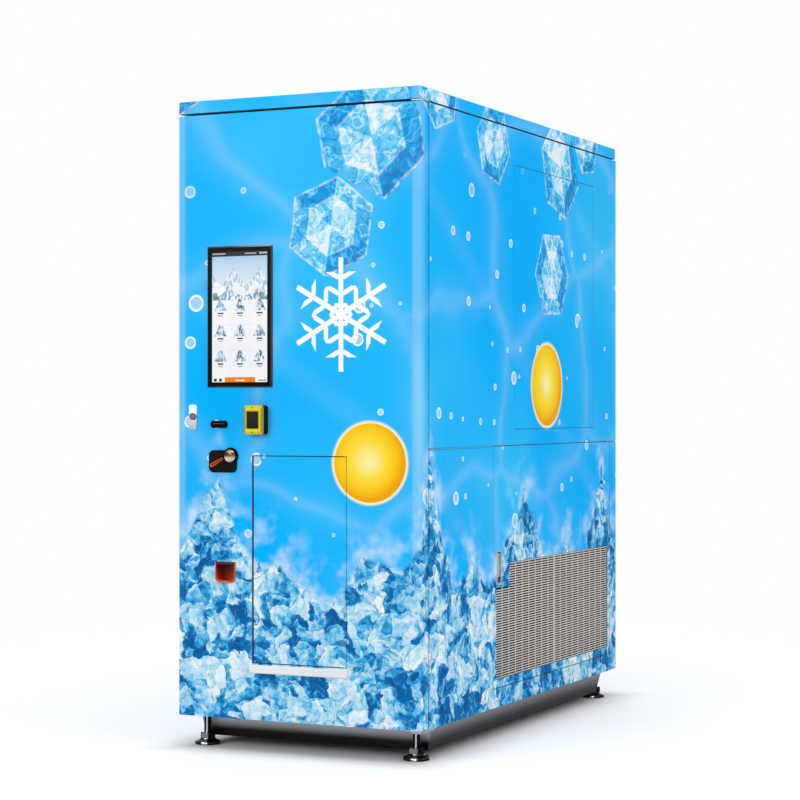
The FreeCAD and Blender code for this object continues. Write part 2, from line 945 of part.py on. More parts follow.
def door_skin():
    low = door_low + door_sheet
    high = door_high - door_sheet
    hole_radius = hinge_pin_radius + running_clearance
    hole_length = hinge_pin_length + door_end_gap
    lower_hole = rod_up(hinge_across, hinge_depth, hole_radius, door_low, door_low + hole_length)
    upper_hole = rod_up(hinge_across, hinge_depth, hole_radius, door_high - hole_length, door_high)
    boss_left = cabinet_width - hinge_boss_width
    boss_right = cabinet_width - door_sheet
    lower_boss = block(boss_left, boss_right, corner_radius, door_back, low, door_low + hinge_boss_height)
    upper_boss = block(boss_left, boss_right, corner_radius, door_back, door_high - hinge_boss_height, high)
    button_hole = hole_span(rod_deep(ear_across, ear_height, button_radius + seat_clearance, 0, door_sheet))
    lock_hole = hole_span(rod_deep(lock_across, lock_height, lock_radius + seat_clearance, 0, door_sheet))
    cup_hole = hole_span(cup_body(seat_clearance, 0, door_sheet))
    holes = [button_hole, lock_hole, cup_hole,
             hole_span(screen_cutout(seat_clearance, 0, door_sheet)),
             hole_span(reader_neck(seat_clearance, 0, door_sheet)),
             hole_span(bill_slot(0, 0, door_sheet)),
             hole_span(coin_hole(0, door_sheet)),
             hole_span(outlet_opening(0, 0, door_sheet))]
    plates = plates_round(corner_radius, cabinet_width - corner_radius, low, high, holes)
    plates += corner_plates(button_hole, (button_radius + seat_clearance) * octagon_leg, True)
    plates += corner_plates(lock_hole, (lock_radius + seat_clearance) * octagon_leg, True)
    plates += corner_plates(cup_hole, (cup_corner_radius - cup_rim) * octagon_leg, False)
    return group(plates + [door_end(door_low, low, lower_hole), door_end(high, door_high, upper_hole),
                           door_corner(corner_radius), door_corner(cabinet_width - corner_radius),
                           block(0, door_sheet, corner_radius, door_back, low, high),
                           block(boss_right, cabinet_width, corner_radius, door_back, low, high),
                           lower_boss.cut(lower_hole), upper_boss.cut(upper_hole)])


def door_frame():
    left = stile_inset
    right = cabinet_width - stile_inset
    low = door_low + stile_inset
    high = door_high - stile_inset

    def plate(start, end, bottom, top):
        return block(start, end, door_back, door_thickness, bottom, top)

    return group([plate(left, left + stile_width, low, high),
                  plate(right - stile_width, right, low, high),
                  plate(left + stile_width, right - stile_width, low, low + kick_rail),
                  plate(left + stile_width, right - stile_width, high - stile_width, high)])


def door_gasket():
    near = door_thickness
    far = shell_front - seat_clearance
    inset = gasket_inset
    low = floor_level + gasket_inset
    high = roof_underside - gasket_inset
    ring = block(inset, cabinet_width - inset, near, far, low, high)
    inner = block(inset + gasket_width, cabinet_width - inset - gasket_width, near, far,
                  low + gasket_width, high - gasket_width)
    return ring.cut(inner)


def screen_bezel():
    flange = block(screen_left, screen_right, -screen_proud, 0, screen_low, screen_high)
    face = front_y - screen_proud + pick_slack
    rim = [edge for edge in flange.Edges if edge.CenterOfMass.y < face]
    flange = flange.makeChamfer(screen_bevel, rim)
    sleeve = screen_cutout(0, 0, screen_sleeve_depth)
    pocket = screen_cutout(-screen_sleeve_wall, 0, screen_sleeve_depth)
    window = block(screen_left + screen_frame, screen_right - screen_frame, -screen_proud, 0,
                   screen_low + screen_frame, screen_high - screen_frame)
    return joined(flange, sleeve).cut([pocket, window])


def screen_glass():
    return screen_cutout(-screen_sleeve_wall - seat_clearance, 0, glass_thickness)


def display_box():
    case = screen_cutout(-screen_sleeve_wall - seat_clearance, glass_thickness, display_depth)
    lid = screen_cutout(-screen_sleeve_wall - display_inset, display_depth, display_depth + display_inset)
    back = front_y + display_depth + display_inset - pick_slack
    lid = lid.makeChamfer(display_inset / 2, [edge for edge in lid.Edges if edge.CenterOfMass.y > back])
    return joined(case, lid)


def reader_outline(near, far):
    shape = block(reader_left, reader_right, near, far, reader_low, reader_high)
    return rounded(shape, reader_corner_radius, V(0, 1, 0))


def reader_window(near, far):
    return block(reader_screen_left, reader_screen_right, near, far, reader_screen_low, reader_screen_high)


def card_reader_body():
    seat = reader_bezel_depth - reader_reach
    body = reader_outline(seat, 0)
    return joined(body, reader_neck(0, 0, reader_neck_depth))


def card_reader_bezel():
    back = reader_bezel_depth - reader_reach
    bezel = reader_outline(-reader_reach, back)
    face = front_y - reader_reach + pick_slack
    rim = [edge for edge in bezel.Edges if edge.CenterOfMass.y < face]
    bezel = bezel.makeChamfer(reader_corner_radius / 3, rim)
    window_depth = reader_screen_recess + reader_screen_thickness
    return bezel.cut(reader_window(-reader_reach, window_depth - reader_reach))


def card_reader_screen():
    near = reader_screen_recess - reader_reach
    return reader_window(near, near + reader_screen_thickness)


def bill_bezel():
    bezel = block(bill_left, bill_right, -bill_proud, 0, bill_low, bill_high)
    bezel = clipped(bezel, bill_corner, V(0, 1, 0))
    return bezel.cut(bill_slot(0, -bill_proud, 0))


def bill_unit():
    unit = bill_unit_space(0, door_sheet, bill_unit_depth)
    back = front_y + bill_unit_depth - pick_slack
    unit = unit.makeChamfer(bill_corner, [edge for edge in unit.Edges if edge.CenterOfMass.y > back])
    return unit.cut(bill_slot(0, door_sheet, bill_path_depth))


def coin_plate():
    plate = block(coin_left, coin_right, -coin_proud, 0, coin_low, coin_high)
    plate = rounded(plate, coin_corner_radius, V(0, 1, 0))
    ear = rod_deep(ear_across, ear_height, ear_radius, -coin_proud, 0)
    hole = rod_deep(ear_across, ear_height, button_radius + running_clearance, -coin_proud, 0)
    return joined(plate, ear).cut([hole, coin_slot(-coin_proud, 0)])


def coin_slot(near, far):
    left = entry_left + entry_slot_end
    right = entry_right - entry_slot_end
    rise = entry_rise * (right - left) / (entry_right - entry_left)
    low = entry_low + (entry_height - entry_slot_height) / 2 + (entry_rise - rise) / 2
    points = [(left, low), (right, low + rise), (right, low + rise + entry_slot_height),
              (left, low + entry_slot_height)]
    return prism_deep(points, near, far)


def coin_entry():
    top = entry_low + entry_height
    points = [(entry_left, entry_low), (entry_right, entry_low + entry_rise),
              (entry_right, top + entry_rise), (entry_left, top)]
    near = -coin_proud - entry_proud
    entry = prism_deep(points, near, -coin_proud)
    face = front_y + near + pick_slack
    entry = entry.makeChamfer(entry_proud / 2, [edge for edge in entry.Edges if edge.CenterOfMass.y < face])
    return entry.cut(coin_slot(near, -coin_proud))


def coin_button():
    return rod_deep(ear_across, ear_height, button_radius,
                    -coin_proud - button_dome, button_skirt - coin_proud)


def coin_unit():
    unit = coin_unit_space(0, coin_unit_near, coin_unit_depth)
    throat = block(entry_left, entry_right, door_sheet, coin_unit_near, entry_low, entry_low + entry_height)
    return joined(unit, throat).cut(coin_slot(door_sheet, coin_unit_near))


def coin_cup():
    outline = block(cup_left, cup_right, -cup_proud, 0, cup_low, cup_high)
    outline = rounded(outline, cup_corner_radius, V(0, 1, 0),
                      lambda centre: centre.z < (cup_low + cup_high) / 2)
    body = cup_body(0, 0, cup_depth)
    cavity = cup_body(-cup_wall, -cup_proud, cup_depth - cup_wall)
    return joined(outline, body).cut(cavity)


def lock_plate():
    plate = block(lock_left, lock_right, -lock_proud, 0, lock_low, lock_high)
    plate = clipped(plate, lock_corner, V(0, 1, 0))
    return plate.cut(rod_deep(lock_across, lock_height, lock_radius + running_clearance, -lock_proud, 0))


def lock_cylinder():
    face = -lock_proud - lock_head_proud
    head = rod_deep(lock_across, lock_height, lock_head_flange, face, -lock_proud)
    barrel = rod_deep(lock_across, lock_height, lock_radius, -lock_proud, lock_barrel_depth)
    half = lock_cam_width / 2
    cam = block(lock_across - half, lock_across + half, lock_barrel_depth,
                lock_barrel_depth + lock_cam_sheet, lock_height - lock_cam_length, lock_height + half)
    slot = block(lock_across - key_slot_width / 2, lock_across + key_slot_width / 2,
                 face, face + key_slot_depth,
                 lock_height - key_slot_length / 2, lock_height + key_slot_length / 2)
    return joined(head, barrel, cam).cut(slot)


# Delivery outlet, flap and bay
def outlet_frame():
    tube = outlet_opening(0, 0, door_thickness)
    light = outlet_opening(-outlet_wall, 0, door_thickness)
    hole_radius = flap_pin_radius + running_clearance
    cuts = [light,
            rod_up(flap_axis_across, flap_axis_depth, hole_radius, outlet_low, outlet_low + outlet_wall),
            rod_up(flap_axis_across, flap_axis_depth, hole_radius, outlet_high - outlet_wall, outlet_high)]
    return tube.cut(cuts)


def flap_low():
    return outlet_low + outlet_wall + flap_gap


def flap_high():
    return outlet_high - outlet_wall - flap_gap


def delivery_flap():
    left = outlet_left + outlet_wall + flap_free_gap
    right = outlet_right - outlet_wall - flap_gap
    near = outlet_recess
    far = outlet_recess + flap_thickness
    flap = block(left, right, near, far, flap_low(), flap_high())
    flap = rounded(flap, sheet / 2, V(0, 0, 1), lambda centre: centre.y < front_y + near + pick_slack)
    hollow = block(left + flap_sheet, right - flap_boss, near + flap_sheet, far,
                   flap_low() + flap_sheet, flap_high() - flap_sheet)
    pin_low = rod_up(flap_axis_across, flap_axis_depth, flap_pin_radius,
                     flap_low() - flap_pin_length, flap_low())
    pin_high = rod_up(flap_axis_across, flap_axis_depth, flap_pin_radius,
                      flap_high(), flap_high() + flap_pin_length)
    return joined(flap.cut(hollow), pin_low, pin_high)


def outlet_sill():
    sill = block(outlet_left, outlet_right, -sill_proud, 0, sill_low, outlet_low)
    edge_line = front_y - sill_proud + pick_slack
    return rounded(sill, sill_edge_radius, V(1, 0, 0), lambda centre: centre.y < edge_line)


def delivery_bay():
    left = outlet_left - bay_margin
    right = outlet_right + bay_margin
    bay = block(left, right, shell_front, bulkhead_depth, bay_low, bay_high)
    hollow = block(left + bay_sheet, right - bay_sheet, shell_front, bulkhead_depth - bay_sheet,
                   bay_low + bay_sheet, bay_high - bay_sheet)
    inner = chute_half_width - chute_sheet
    port = block(trough_across - inner, trough_across + inner, bulkhead_depth - chute_depth + chute_sheet,
                 bulkhead_depth - bay_sheet, bay_high - bay_sheet, bay_high)
    return bay.cut([hollow, port])


# Ice store, auger and chute
def ice_chute():
    left = trough_across - chute_half_width
    right = trough_across + chute_half_width
    near = bulkhead_depth - chute_depth
    chute = block(left, right, near, bulkhead_depth, bay_high, chute_high)
    hollow = block(left + chute_sheet, right - chute_sheet, near + chute_sheet, bulkhead_depth,
                   bay_high, chute_high - chute_sheet)
    bearing = rod_deep(trough_across, trough_height, auger_shaft_radius + running_clearance,
                       near, near + chute_sheet)
    return chute.cut([hollow, bearing])


def hopper(wall, near, far, high):
    slope_half = trough_radius * math.cos(math.pi / 4)
    slope_low = trough_height - slope_half
    left = bin_left + bin_wall - wall
    right = bin_right - bin_wall + wall
    points = [(left, high), (left, bin_shoulder - wall), (trough_across - slope_half - wall, slope_low),
              (trough_across + slope_half + wall, slope_low), (right, bin_shoulder - wall), (right, high)]
    trough = rod_deep(trough_across, trough_height, trough_radius + wall, near, far)
    return joined(prism_deep(points, near, far), trough)


def ice_bin():
    deck_top = deck_height + deck_sheet
    outer = hopper(bin_wall, bin_front, bin_rear, bin_high)
    front_end = block(bin_left, bin_right, bin_front, bin_front + bin_wall, deck_top, bin_high)
    rear_end = block(bin_left, bin_right, bin_rear - bin_wall, bin_rear, deck_top, bin_high)
    inner = hopper(0, bin_front + bin_wall, bin_rear - bin_wall, bin_high)
    mouth = rod_deep(trough_across, trough_height, trough_radius, bin_front, bin_front + bin_wall)
    bearing = rod_deep(trough_across, trough_height, auger_shaft_radius + running_clearance,
                       bin_rear - bin_wall, bin_rear)
    return joined(outer, front_end, rear_end).cut([inner, mouth, bearing])


def flight_corners(step):
    angle = 2 * math.pi * step / auger_steps
    outward = V(math.cos(angle), 0, math.sin(angle))
    start = place(trough_across, auger_start + auger_pitch * step / auger_steps, trough_height)
    thick = V(0, auger_flight, 0)
    root = start + outward * (auger_shaft_radius - auger_flight)
    tip = start + outward * auger_radius
    return [root, tip, tip + thick, root + thick]


def auger():
    shaft = rod_deep(trough_across, trough_height, auger_shaft_radius,
                     bulkhead_depth - chute_depth, bin_rear + gearbox_depth / 2)
    rings = [flight_corners(step) for step in range(auger_turns * auger_steps + 1)]
    faces = [flat_face(*rings[0]), flat_face(*reversed(rings[-1]))]
    for ring, following in zip(rings, rings[1:]):
        for side in range(4):
            after = (side + 1) % 4
            faces.append(flat_face(ring[side], following[side], following[after]))
            faces.append(flat_face(ring[side], following[after], ring[after]))
    flight = Part.makeSolid(Part.makeShell(faces))
    if flight.Volume < 0:
        flight.reverse()
    return shaft.fuse(flight)


def auger_motor():
    half = gearbox_size / 2
    gearbox = block(trough_across - half, trough_across + half, bin_rear, bin_rear + gearbox_depth,
                    trough_height - half, trough_height + half)
    motor = rod_deep(trough_across, trough_height, motor_radius, bin_rear + gearbox_depth,
                     bin_rear + gearbox_depth + motor_length)
    hole = rod_deep(trough_across, trough_height, auger_shaft_radius + running_clearance,
                    bin_rear, bin_rear + gearbox_depth / 2 + seat_clearance)
    return joined(gearbox, motor).cut(hole)


def ice_maker():
    base = block(bin_left, bin_right, bin_front, bin_rear, bin_high, bin_high + maker_flange)
    body = block(bin_left, bin_right, maker_near, bin_rear, bin_high + maker_flange, maker_high)
    hollow = block(bin_left + maker_wall, bin_right - maker_wall,
                   maker_near + maker_wall, bin_rear - maker_wall,
                   bin_high + maker_flange, maker_high - maker_wall)
    port = block(bin_left + maker_port_inset, bin_right - maker_port_inset, maker_near + maker_port_inset,
                 bin_rear - maker_port_inset, bin_high, bin_high + maker_flange)
    return joined(base, body).cut([hollow, port])


# Cooling unit
def fan_shroud():
    near = fan_depth - shroud_half_width
    far = fan_depth + shroud_half_width
    coil_face = coil_across + coil_thickness
    box = block(coil_face, shroud_across, near, far, shroud_low, shroud_high)
    hollow = block(coil_face, shroud_across - shroud_sheet, near + shroud_sheet, far - shroud_sheet,
                   shroud_low + shroud_sheet, shroud_high - shroud_sheet)
    orifice = rod_across(fan_depth, fan_height, fan_radius + fan_orifice_gap,
                         shroud_across - shroud_sheet, shroud_across)
    shell = box.cut([hollow, orifice])
    spider_left = fan_across - fan_hub_length - fan_motor_length
    bar = block(spider_left - spider_thickness, spider_left, near + shroud_sheet, far - shroud_sheet,
                fan_height - spider_width / 2, fan_height + spider_width / 2)
    return joined(shell, bar)


def fan_motor():
    right = fan_across - fan_hub_length
    half = fan_motor_radius * math.sqrt(0.5)
    body = block(right - fan_motor_length, right - seat_clearance, fan_depth - half, fan_depth + half,
                 fan_height - half, fan_height + half)
    shaft = rod_across(fan_depth, fan_height, fan_shaft_radius,
                       right - seat_clearance, right + fan_shaft_length)
    return joined(body, shaft)


def condenser_fan():
    left = fan_across - fan_hub_length
    hub = rod_across(fan_depth, fan_height, fan_hub_radius, left, fan_across)
    centre = place(fan_across - fan_hub_length / 2, fan_depth, fan_height)
    root = fan_motor_radius + fan_motor_gap
    tip_half = fan_blade_width / 2
    root_half = tip_half * fan_root_ratio
    length = math.sqrt(fan_radius ** 2 - tip_half ** 2)
    blades = []
    for number in range(fan_blades):
        outline = [V(0, -root_half, root), V(0, root_half, root), V(0, tip_half, length),
                   V(0, -tip_half, length)]
        blade = flat_face(*outline).extrude(V(fan_blade_sheet, 0, 0))
        blade.rotate(V(0, 0, 0), V(0, 0, 1), fan_blade_angle)
        blade.rotate(V(0, 0, 0), V(1, 0, 0), 360 / fan_blades * number)
        blade.translate(centre)
        blades.append(blade)
    hole = rod_across(fan_depth, fan_height, fan_shaft_radius + running_clearance,
                      left, left + fan_shaft_length + seat_clearance)
    return joined(hub, *blades).cut(hole)


def condenser_coil():
    near = fan_depth - shroud_half_width
    far = fan_depth + shroud_half_width
    right = coil_across + coil_thickness
    core_right = coil_across + coil_core
    pitch = (far - near - coil_fin_sheet) / (coil_fins - 1)
    points = [(coil_across, near), (coil_across, far)]
    for number in reversed(range(coil_fins)):
        low = near + number * pitch
        points.extend([(right, low + coil_fin_sheet), (right, low)])
        if number:
            points.extend([(core_right, low), (core_right, low - pitch + coil_fin_sheet)])
    corners = [place(across, depth, shroud_low) for across, depth in points]
    return Part.Face(Part.makePolygon(corners + corners[:1])).extrude(V(0, 0, shroud_high - shroud_low))


def mount_places():
    places = []
    for across in (compressor_across - compressor_foot, compressor_across + compressor_foot):
        for depth in (compressor_depth - compressor_foot, compressor_depth + compressor_foot):
            places.append((across, depth))
    return places


def compressor_mounts():
    half = mount_half
    return group([block(across - half, across + half, depth - half, depth + half,
                        floor_level, floor_level + mount_height) for across, depth in mount_places()])


def compressor():
    low = floor_level + mount_height
    reach = compressor_foot + mount_half
    plate = block(compressor_across - reach, compressor_across + reach, compressor_depth - reach,
                  compressor_depth + reach, low, low + compressor_plate)
    can_low = low + compressor_plate
    can = rod_up(compressor_across, compressor_depth, compressor_radius, can_low, compressor_top())
    return joined(plate, can)


def compressor_top():
    return floor_level + mount_height + compressor_plate + compressor_height


def refrigerant_pipe(across, lift):
    low = compressor_top()
    high = low + lift + pipe_bend
    bend_far = compressor_depth + pipe_bend
    middle = pipe_bend * (1 - math.cos(math.pi / 4))
    rings = [(compressor_depth, low, V(0, 0, 1)), (compressor_depth, high - pipe_bend, V(0, 0, 1)),
             (compressor_depth + middle, high - middle, V(0, 1, 1)), (bend_far, high, V(0, 1, 0)),
             (fan_depth - shroud_half_width, high, V(0, 1, 0))]
    wires = []
    for depth, height, direction in rings:
        wires.append(Part.Wire([Part.makeCircle(pipe_radius, place(across, depth, height), direction)]))
    return Part.makeLoft(wires, True, True)


def refrigerant_pipes():
    hot = refrigerant_pipe(compressor_across, pipe_rise)
    cold = refrigerant_pipe(compressor_across - pipe_offset, pipe_rise + pipe_offset)
    return group([hot, cold])


# Water side and control
def water_tank():
    body = block(tank_left, tank_right, tank_near, tank_far, floor_level, tank_high)
    body = clipped(body, tank_corner, V(0, 0, 1))
    lid = block(tank_left - tank_lid_lip, tank_right + tank_lid_lip, tank_near - tank_lid_lip,
                tank_far + tank_lid_lip, tank_high, tank_high + tank_lid)
    lid = clipped(lid, tank_corner, V(0, 0, 1))
    return joined(body, lid)


def water_filters():
    last = filter_near + (filter_count - 1) * filter_spacing
    reach = filter_radius + filter_head_lip
    head = block(filter_across - reach, filter_across + reach, filter_near - reach, last + reach,
                 deck_height - filter_head, deck_height)
    solids = [head]
    low = deck_height - filter_head - filter_length
    for number in range(filter_count):
        depth = filter_near + number * filter_spacing
        solids.append(rod_up(filter_across, depth, filter_radius, low, deck_height - filter_head))
    return group(solids)


def control_box():
    inset = control_lid_inset
    case = block(control_left, control_right - control_lid, control_near, control_far,
                 control_low, deck_height)
    lid = block(control_right - control_lid, control_right, control_near + inset, control_far - inset,
                control_low + inset, deck_height - inset)
    face = left_x + control_right - pick_slack
    lid = lid.makeChamfer(control_lid / 2, [edge for edge in lid.Edges if edge.CenterOfMass.x > face])
    return joined(case, lid)


# Rear fittings
def stub(across, height, radius):
    pipe = rod_deep(across, height, radius, cabinet_depth - sheet, cabinet_depth + fitting_reach)
    half = radius + fitting_collar_lip
    collar = block(across - half, across + half, cabinet_depth, cabinet_depth + fitting_collar,
                   height - half, height + half)
    return joined(pipe, collar)


def cable_gland():
    far = cabinet_depth + fitting_reach
    neck = rod_deep(gland_across, gland_height, gland_radius, cabinet_depth - sheet, cabinet_depth)
    corners = [(gland_across + x, gland_height + z) for x, z in hexagon(gland_flats)]
    bore = rod_deep(gland_across, gland_height, gland_bore, cabinet_depth - sheet, far)
    return joined(neck, prism_deep(corners, cabinet_depth, far)).cut(bore)


def rear_fittings():
    return group([stub(inlet_across, inlet_height, inlet_radius),
                  stub(drain_across, drain_height, drain_radius), cable_gland()])


# Service door, grille and latch
def service_outline(grow, left, right):
    return block(left, right, service_near - grow, service_far + grow,
                 service_low - grow, service_high + grow)


def latch_outline(grow, left, right):
    shape = block(left, right, latch_near - grow, latch_far + grow, latch_low - grow, latch_high + grow)
    return clipped(shape, latch_corner, V(1, 0, 0))


def grille_outline(left, right):
    field = block(left, right, grille_near, grille_far, grille_low, grille_high)
    return field.cut(block(left, right, grille_near, grille_notch_far, grille_notch_low, grille_high))


def service_door_skin():
    back = inner_right
    face = cabinet_width - sheet
    door = service_outline(0, back, cabinet_width)
    outer = left_x + cabinet_width - pick_slack
    door = rounded(door, sheet / 2, V(0, 0, 1), lambda centre: centre.x > outer)
    door = door.cut(service_outline(-sheet, back, face))
    boss_near = service_far - service_boss
    low_boss = block(back, face, boss_near, service_far - sheet,
                     service_low, service_low + service_boss_height)
    high_boss = block(back, face, boss_near, service_far - sheet,
                      service_high - service_boss_height, service_high)
    door = joined(door, low_boss, high_boss)
    hole_radius = service_pin_radius + running_clearance
    hole_length = service_pin_length + seat_clearance
    return door.cut([grille_outline(face, cabinet_width),
                     latch_outline(seat_clearance, face, cabinet_width),
                     rod_up(service_axis_across, service_axis_depth, hole_radius,
                            service_low, service_low + hole_length),
                     rod_up(service_axis_across, service_axis_depth, hole_radius,
                            service_high - hole_length, service_high)])


def grille_border_bars():
    right = cabinet_width - sheet
    left = right - grille_plate
    edge = grille_border

    def bar(near, far, low, high):
        return block(left, right, near, far, low, high)

    return [bar(grille_near - edge, grille_far + edge, grille_low - edge, grille_low),
            bar(grille_far, grille_far + edge, grille_low, grille_high),
            bar(grille_notch_far - edge, grille_far + edge, grille_high, grille_high + edge),
            bar(grille_notch_far - edge, grille_notch_far, grille_notch_low, grille_high),
            bar(grille_near - edge, grille_notch_far - edge, grille_notch_low, grille_notch_low + edge),
            bar(grille_near - edge, grille_near, grille_low, grille_notch_low)]


def grille():
    face = cabinet_width - sheet
    slat_face = face - grille_plate + slat_thickness
    solids = grille_border_bars()
    pitch = (grille_high - grille_low) / slot_rows
    slat_height = pitch - slot_height
    for row in range(slot_rows):
        low = grille_low + (row + 0.5) * pitch - slat_height / 2
        near = grille_near
        if low + slat_height > grille_notch_low:
            near = grille_notch_far
        solids.append(block(slat_face - slat_thickness, slat_face, near, grille_far,
                            low, low + slat_height))
    rib_pitch = (grille_far - grille_near) / slot_columns
    rib_right = face - grille_plate
    for column in range(slot_columns + 1):
        depth = grille_near + column * rib_pitch
        half = rib_width / 2
        if column * 2 == slot_columns:
            half = rib_middle_width / 2
        high = grille_high + grille_border
        if depth - half < grille_notch_far - grille_border:
            high = grille_notch_low + grille_border
        low = grille_low - grille_border
        solids.append(block(rib_right - rib_thickness, rib_right, depth - half, depth + half, low, high))
    return group(solids)


def lever_axis():
    across = cabinet_width - lever_recess - lever_thickness / 2
    return across, latch_high - lever_pivot_drop


def latch_plate():
    back = cabinet_width - latch_depth
    case = latch_outline(0, back, cabinet_width)
    flange_right = cabinet_width - sheet
    flange = latch_outline(latch_flange, flange_right - latch_flange_sheet, flange_right)
    recess = block(back + latch_floor, cabinet_width, latch_near + latch_rim, latch_far - latch_rim,
                   latch_low + latch_rim, latch_high - latch_rim)
    across, height = lever_axis()
    pin_near = latch_near + latch_rim - lever_pin_length
    pin_far = latch_far - latch_rim + lever_pin_length
    hole = Part.makeCylinder(lever_pin_radius + running_clearance, pin_far - pin_near,
                             place(across, pin_near, height), V(0, 1, 0))
    return joined(case, flange).cut([recess, hole])


def latch_lever():
    across, height = lever_axis()
    near = latch_near + latch_rim + lever_side_gap
    far = latch_far - latch_rim - lever_side_gap
    half = lever_thickness / 2
    arm = block(across - half, across + half, near, far, height - lever_length, height)
    tip = [edge for edge in arm.Edges if edge.CenterOfMass.z < height - lever_length + pick_slack]
    arm = arm.makeChamfer(half / 2, tip)
    knuckle = rod_deep(across, height, half, near, far)
    pin_near = latch_near + latch_rim - lever_pin_length + seat_clearance
    pin_far = latch_far - latch_rim + lever_pin_length - seat_clearance
    pin = rod_deep(across, height, lever_pin_radius, pin_near, pin_far)
    return joined(arm, knuckle, pin)


def pieces():
    feet = foot_places()
    return {
        "top_cap": top_cap(), "roof_panel": roof_panel(), "left_side_skin": left_side_skin(),
        "right_upper_skin": right_upper_skin(), "upper_access_panel": upper_access_panel(),
        "right_lower_skin": right_lower_skin(), "rear_skin": rear_skin(), "base_frame": base_frame(),
        "base_plinth": base_plinth(), "foot_pads": group([foot_pad(*spot) for spot in feet]),
        "foot_nuts": group([foot_nut(*spot) for spot in feet]),
        "foot_stems": group([foot_stem(*spot) for spot in feet]),
        "front_frame": front_frame(), "rear_posts": rear_posts(), "front_bulkhead": front_bulkhead(),
        "mid_deck": mid_deck(), "pivot_pins": pivot_pins(), "door_skin": door_skin(),
        "door_frame": door_frame(), "door_gasket": door_gasket(), "screen_bezel": screen_bezel(),
        "screen_glass": screen_glass(), "display_box": display_box(),
        "card_reader_body": card_reader_body(),
        "card_reader_bezel": card_reader_bezel(), "card_reader_screen": card_reader_screen(),
        "bill_bezel": bill_bezel(), "bill_unit": bill_unit(), "coin_plate": coin_plate(),
        "coin_entry": coin_entry(), "coin_button": coin_button(), "coin_unit": coin_unit(),
        "coin_cup": coin_cup(), "lock_plate": lock_plate(), "lock_cylinder": lock_cylinder(),
        "outlet_frame": outlet_frame(), "delivery_flap": delivery_flap(), "outlet_sill": outlet_sill(),
        "delivery_bay": delivery_bay(), "ice_chute": ice_chute(), "ice_bin": ice_bin(), "auger": auger(),
        "auger_motor": auger_motor(), "ice_maker": ice_maker(), "fan_shroud": fan_shroud(),
        "fan_motor": fan_motor(), "condenser_fan": condenser_fan(), "condenser_coil": condenser_coil(),
        "compressor_mounts": compressor_mounts(), "compressor": compressor(),
        "refrigerant_pipes": refrigerant_pipes(), "water_tank": water_tank(),
        "water_filters": water_filters(),
        "control_box": control_box(), "rear_fittings": rear_fittings(),
        "service_door_skin": service_door_skin(), "grille": grille(), "latch_plate": latch_plate(),
        "latch_lever": latch_lever(),
    }


os.makedirs("parts", exist_ok=True)
for piece_name, piece_shape in pieces().items():
    save(piece_name, piece_shape)
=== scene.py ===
import bpy
import bmesh
import json
import math
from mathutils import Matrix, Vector


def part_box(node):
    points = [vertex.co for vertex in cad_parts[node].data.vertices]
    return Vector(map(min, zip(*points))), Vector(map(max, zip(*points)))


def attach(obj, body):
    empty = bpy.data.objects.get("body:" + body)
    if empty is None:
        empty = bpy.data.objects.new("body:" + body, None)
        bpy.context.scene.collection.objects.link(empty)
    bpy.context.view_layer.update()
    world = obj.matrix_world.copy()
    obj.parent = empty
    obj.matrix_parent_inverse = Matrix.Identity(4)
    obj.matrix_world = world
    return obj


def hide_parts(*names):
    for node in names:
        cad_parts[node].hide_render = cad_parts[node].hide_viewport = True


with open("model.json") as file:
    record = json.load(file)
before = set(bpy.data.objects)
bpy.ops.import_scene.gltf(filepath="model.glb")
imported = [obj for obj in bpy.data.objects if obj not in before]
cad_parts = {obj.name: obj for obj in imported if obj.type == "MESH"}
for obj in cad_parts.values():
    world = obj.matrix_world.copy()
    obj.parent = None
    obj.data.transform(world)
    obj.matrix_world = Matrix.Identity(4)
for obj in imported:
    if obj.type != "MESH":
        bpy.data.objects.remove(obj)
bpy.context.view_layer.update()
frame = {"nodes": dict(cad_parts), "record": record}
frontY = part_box("door_skin")[0].y  # outer face of the front door
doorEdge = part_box("door_skin")[1].x
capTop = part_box("top_cap")[1].z
print("frame loaded with", len(frame["nodes"]), "nodes")


def sums(operation):  # a socket with another value, and the other way round
    return (lambda self, other: self.math(operation, self, other),
            lambda self, other: self.math(operation, other, self))


class Wire:
    # one socket of a material, so that shader maths reads as plain sums
    __add__, __radd__ = sums("ADD")
    __sub__, __rsub__ = sums("SUBTRACT")
    __mul__, __rmul__ = sums("MULTIPLY")
    __truediv__ = sums("DIVIDE")[0]
    __gt__ = sums("GREATER_THAN")[0]
    __lt__ = sums("LESS_THAN")[0]
    most = sums("MAXIMUM")[0]
    x, y, z = (property(lambda self, axis=axis: self.part(axis)) for axis in "XYZ")

    def __init__(self, tree, socket=None):
        self.tree = tree
        self.socket = socket

    def put(self, kind, inputs=None, out=0, **settings):  # new node, fed by sockets, colours or numbers
        node = self.tree.nodes.new("ShaderNode" + kind)
        for name, value in settings.items():
            setattr(node, name, value)
        for name, value in (inputs or {}).items():
            if isinstance(value, Wire):
                self.tree.links.new(value.socket, node.inputs[name])
            else:
                node.inputs[name].default_value = asColour(value)
        return Wire(self.tree, node.outputs[out])

    def math(self, operation, *values):
        return self.put("Math", dict(enumerate(values)), operation=operation)

    def part(self, axis):  # X, Y or Z of a vector
        return self.put("SeparateXYZ", {0: self}, axis)

    def __abs__(self):
        return self.of("ABSOLUTE")

    def of(self, operation):  # sine, root and the like
        return self.math(operation, self)

    def zigzag(self):  # 0.5 at whole numbers, 0 half way between them
        return abs(self.of("FRACT") - 0.5)

    def soft(self, low, high):  # 0 at low, 1 at high, with eased ends
        inputs = {"Value": self, "From Min": low, "From Max": high}
        return self.put("MapRange", inputs, interpolation_type="SMOOTHSTEP")

    def mix(self, under, over):  # this socket is the share of the upper colour
        return self.put("Mix", {0: self, 6: under, 7: over}, 2, data_type="RGBA")


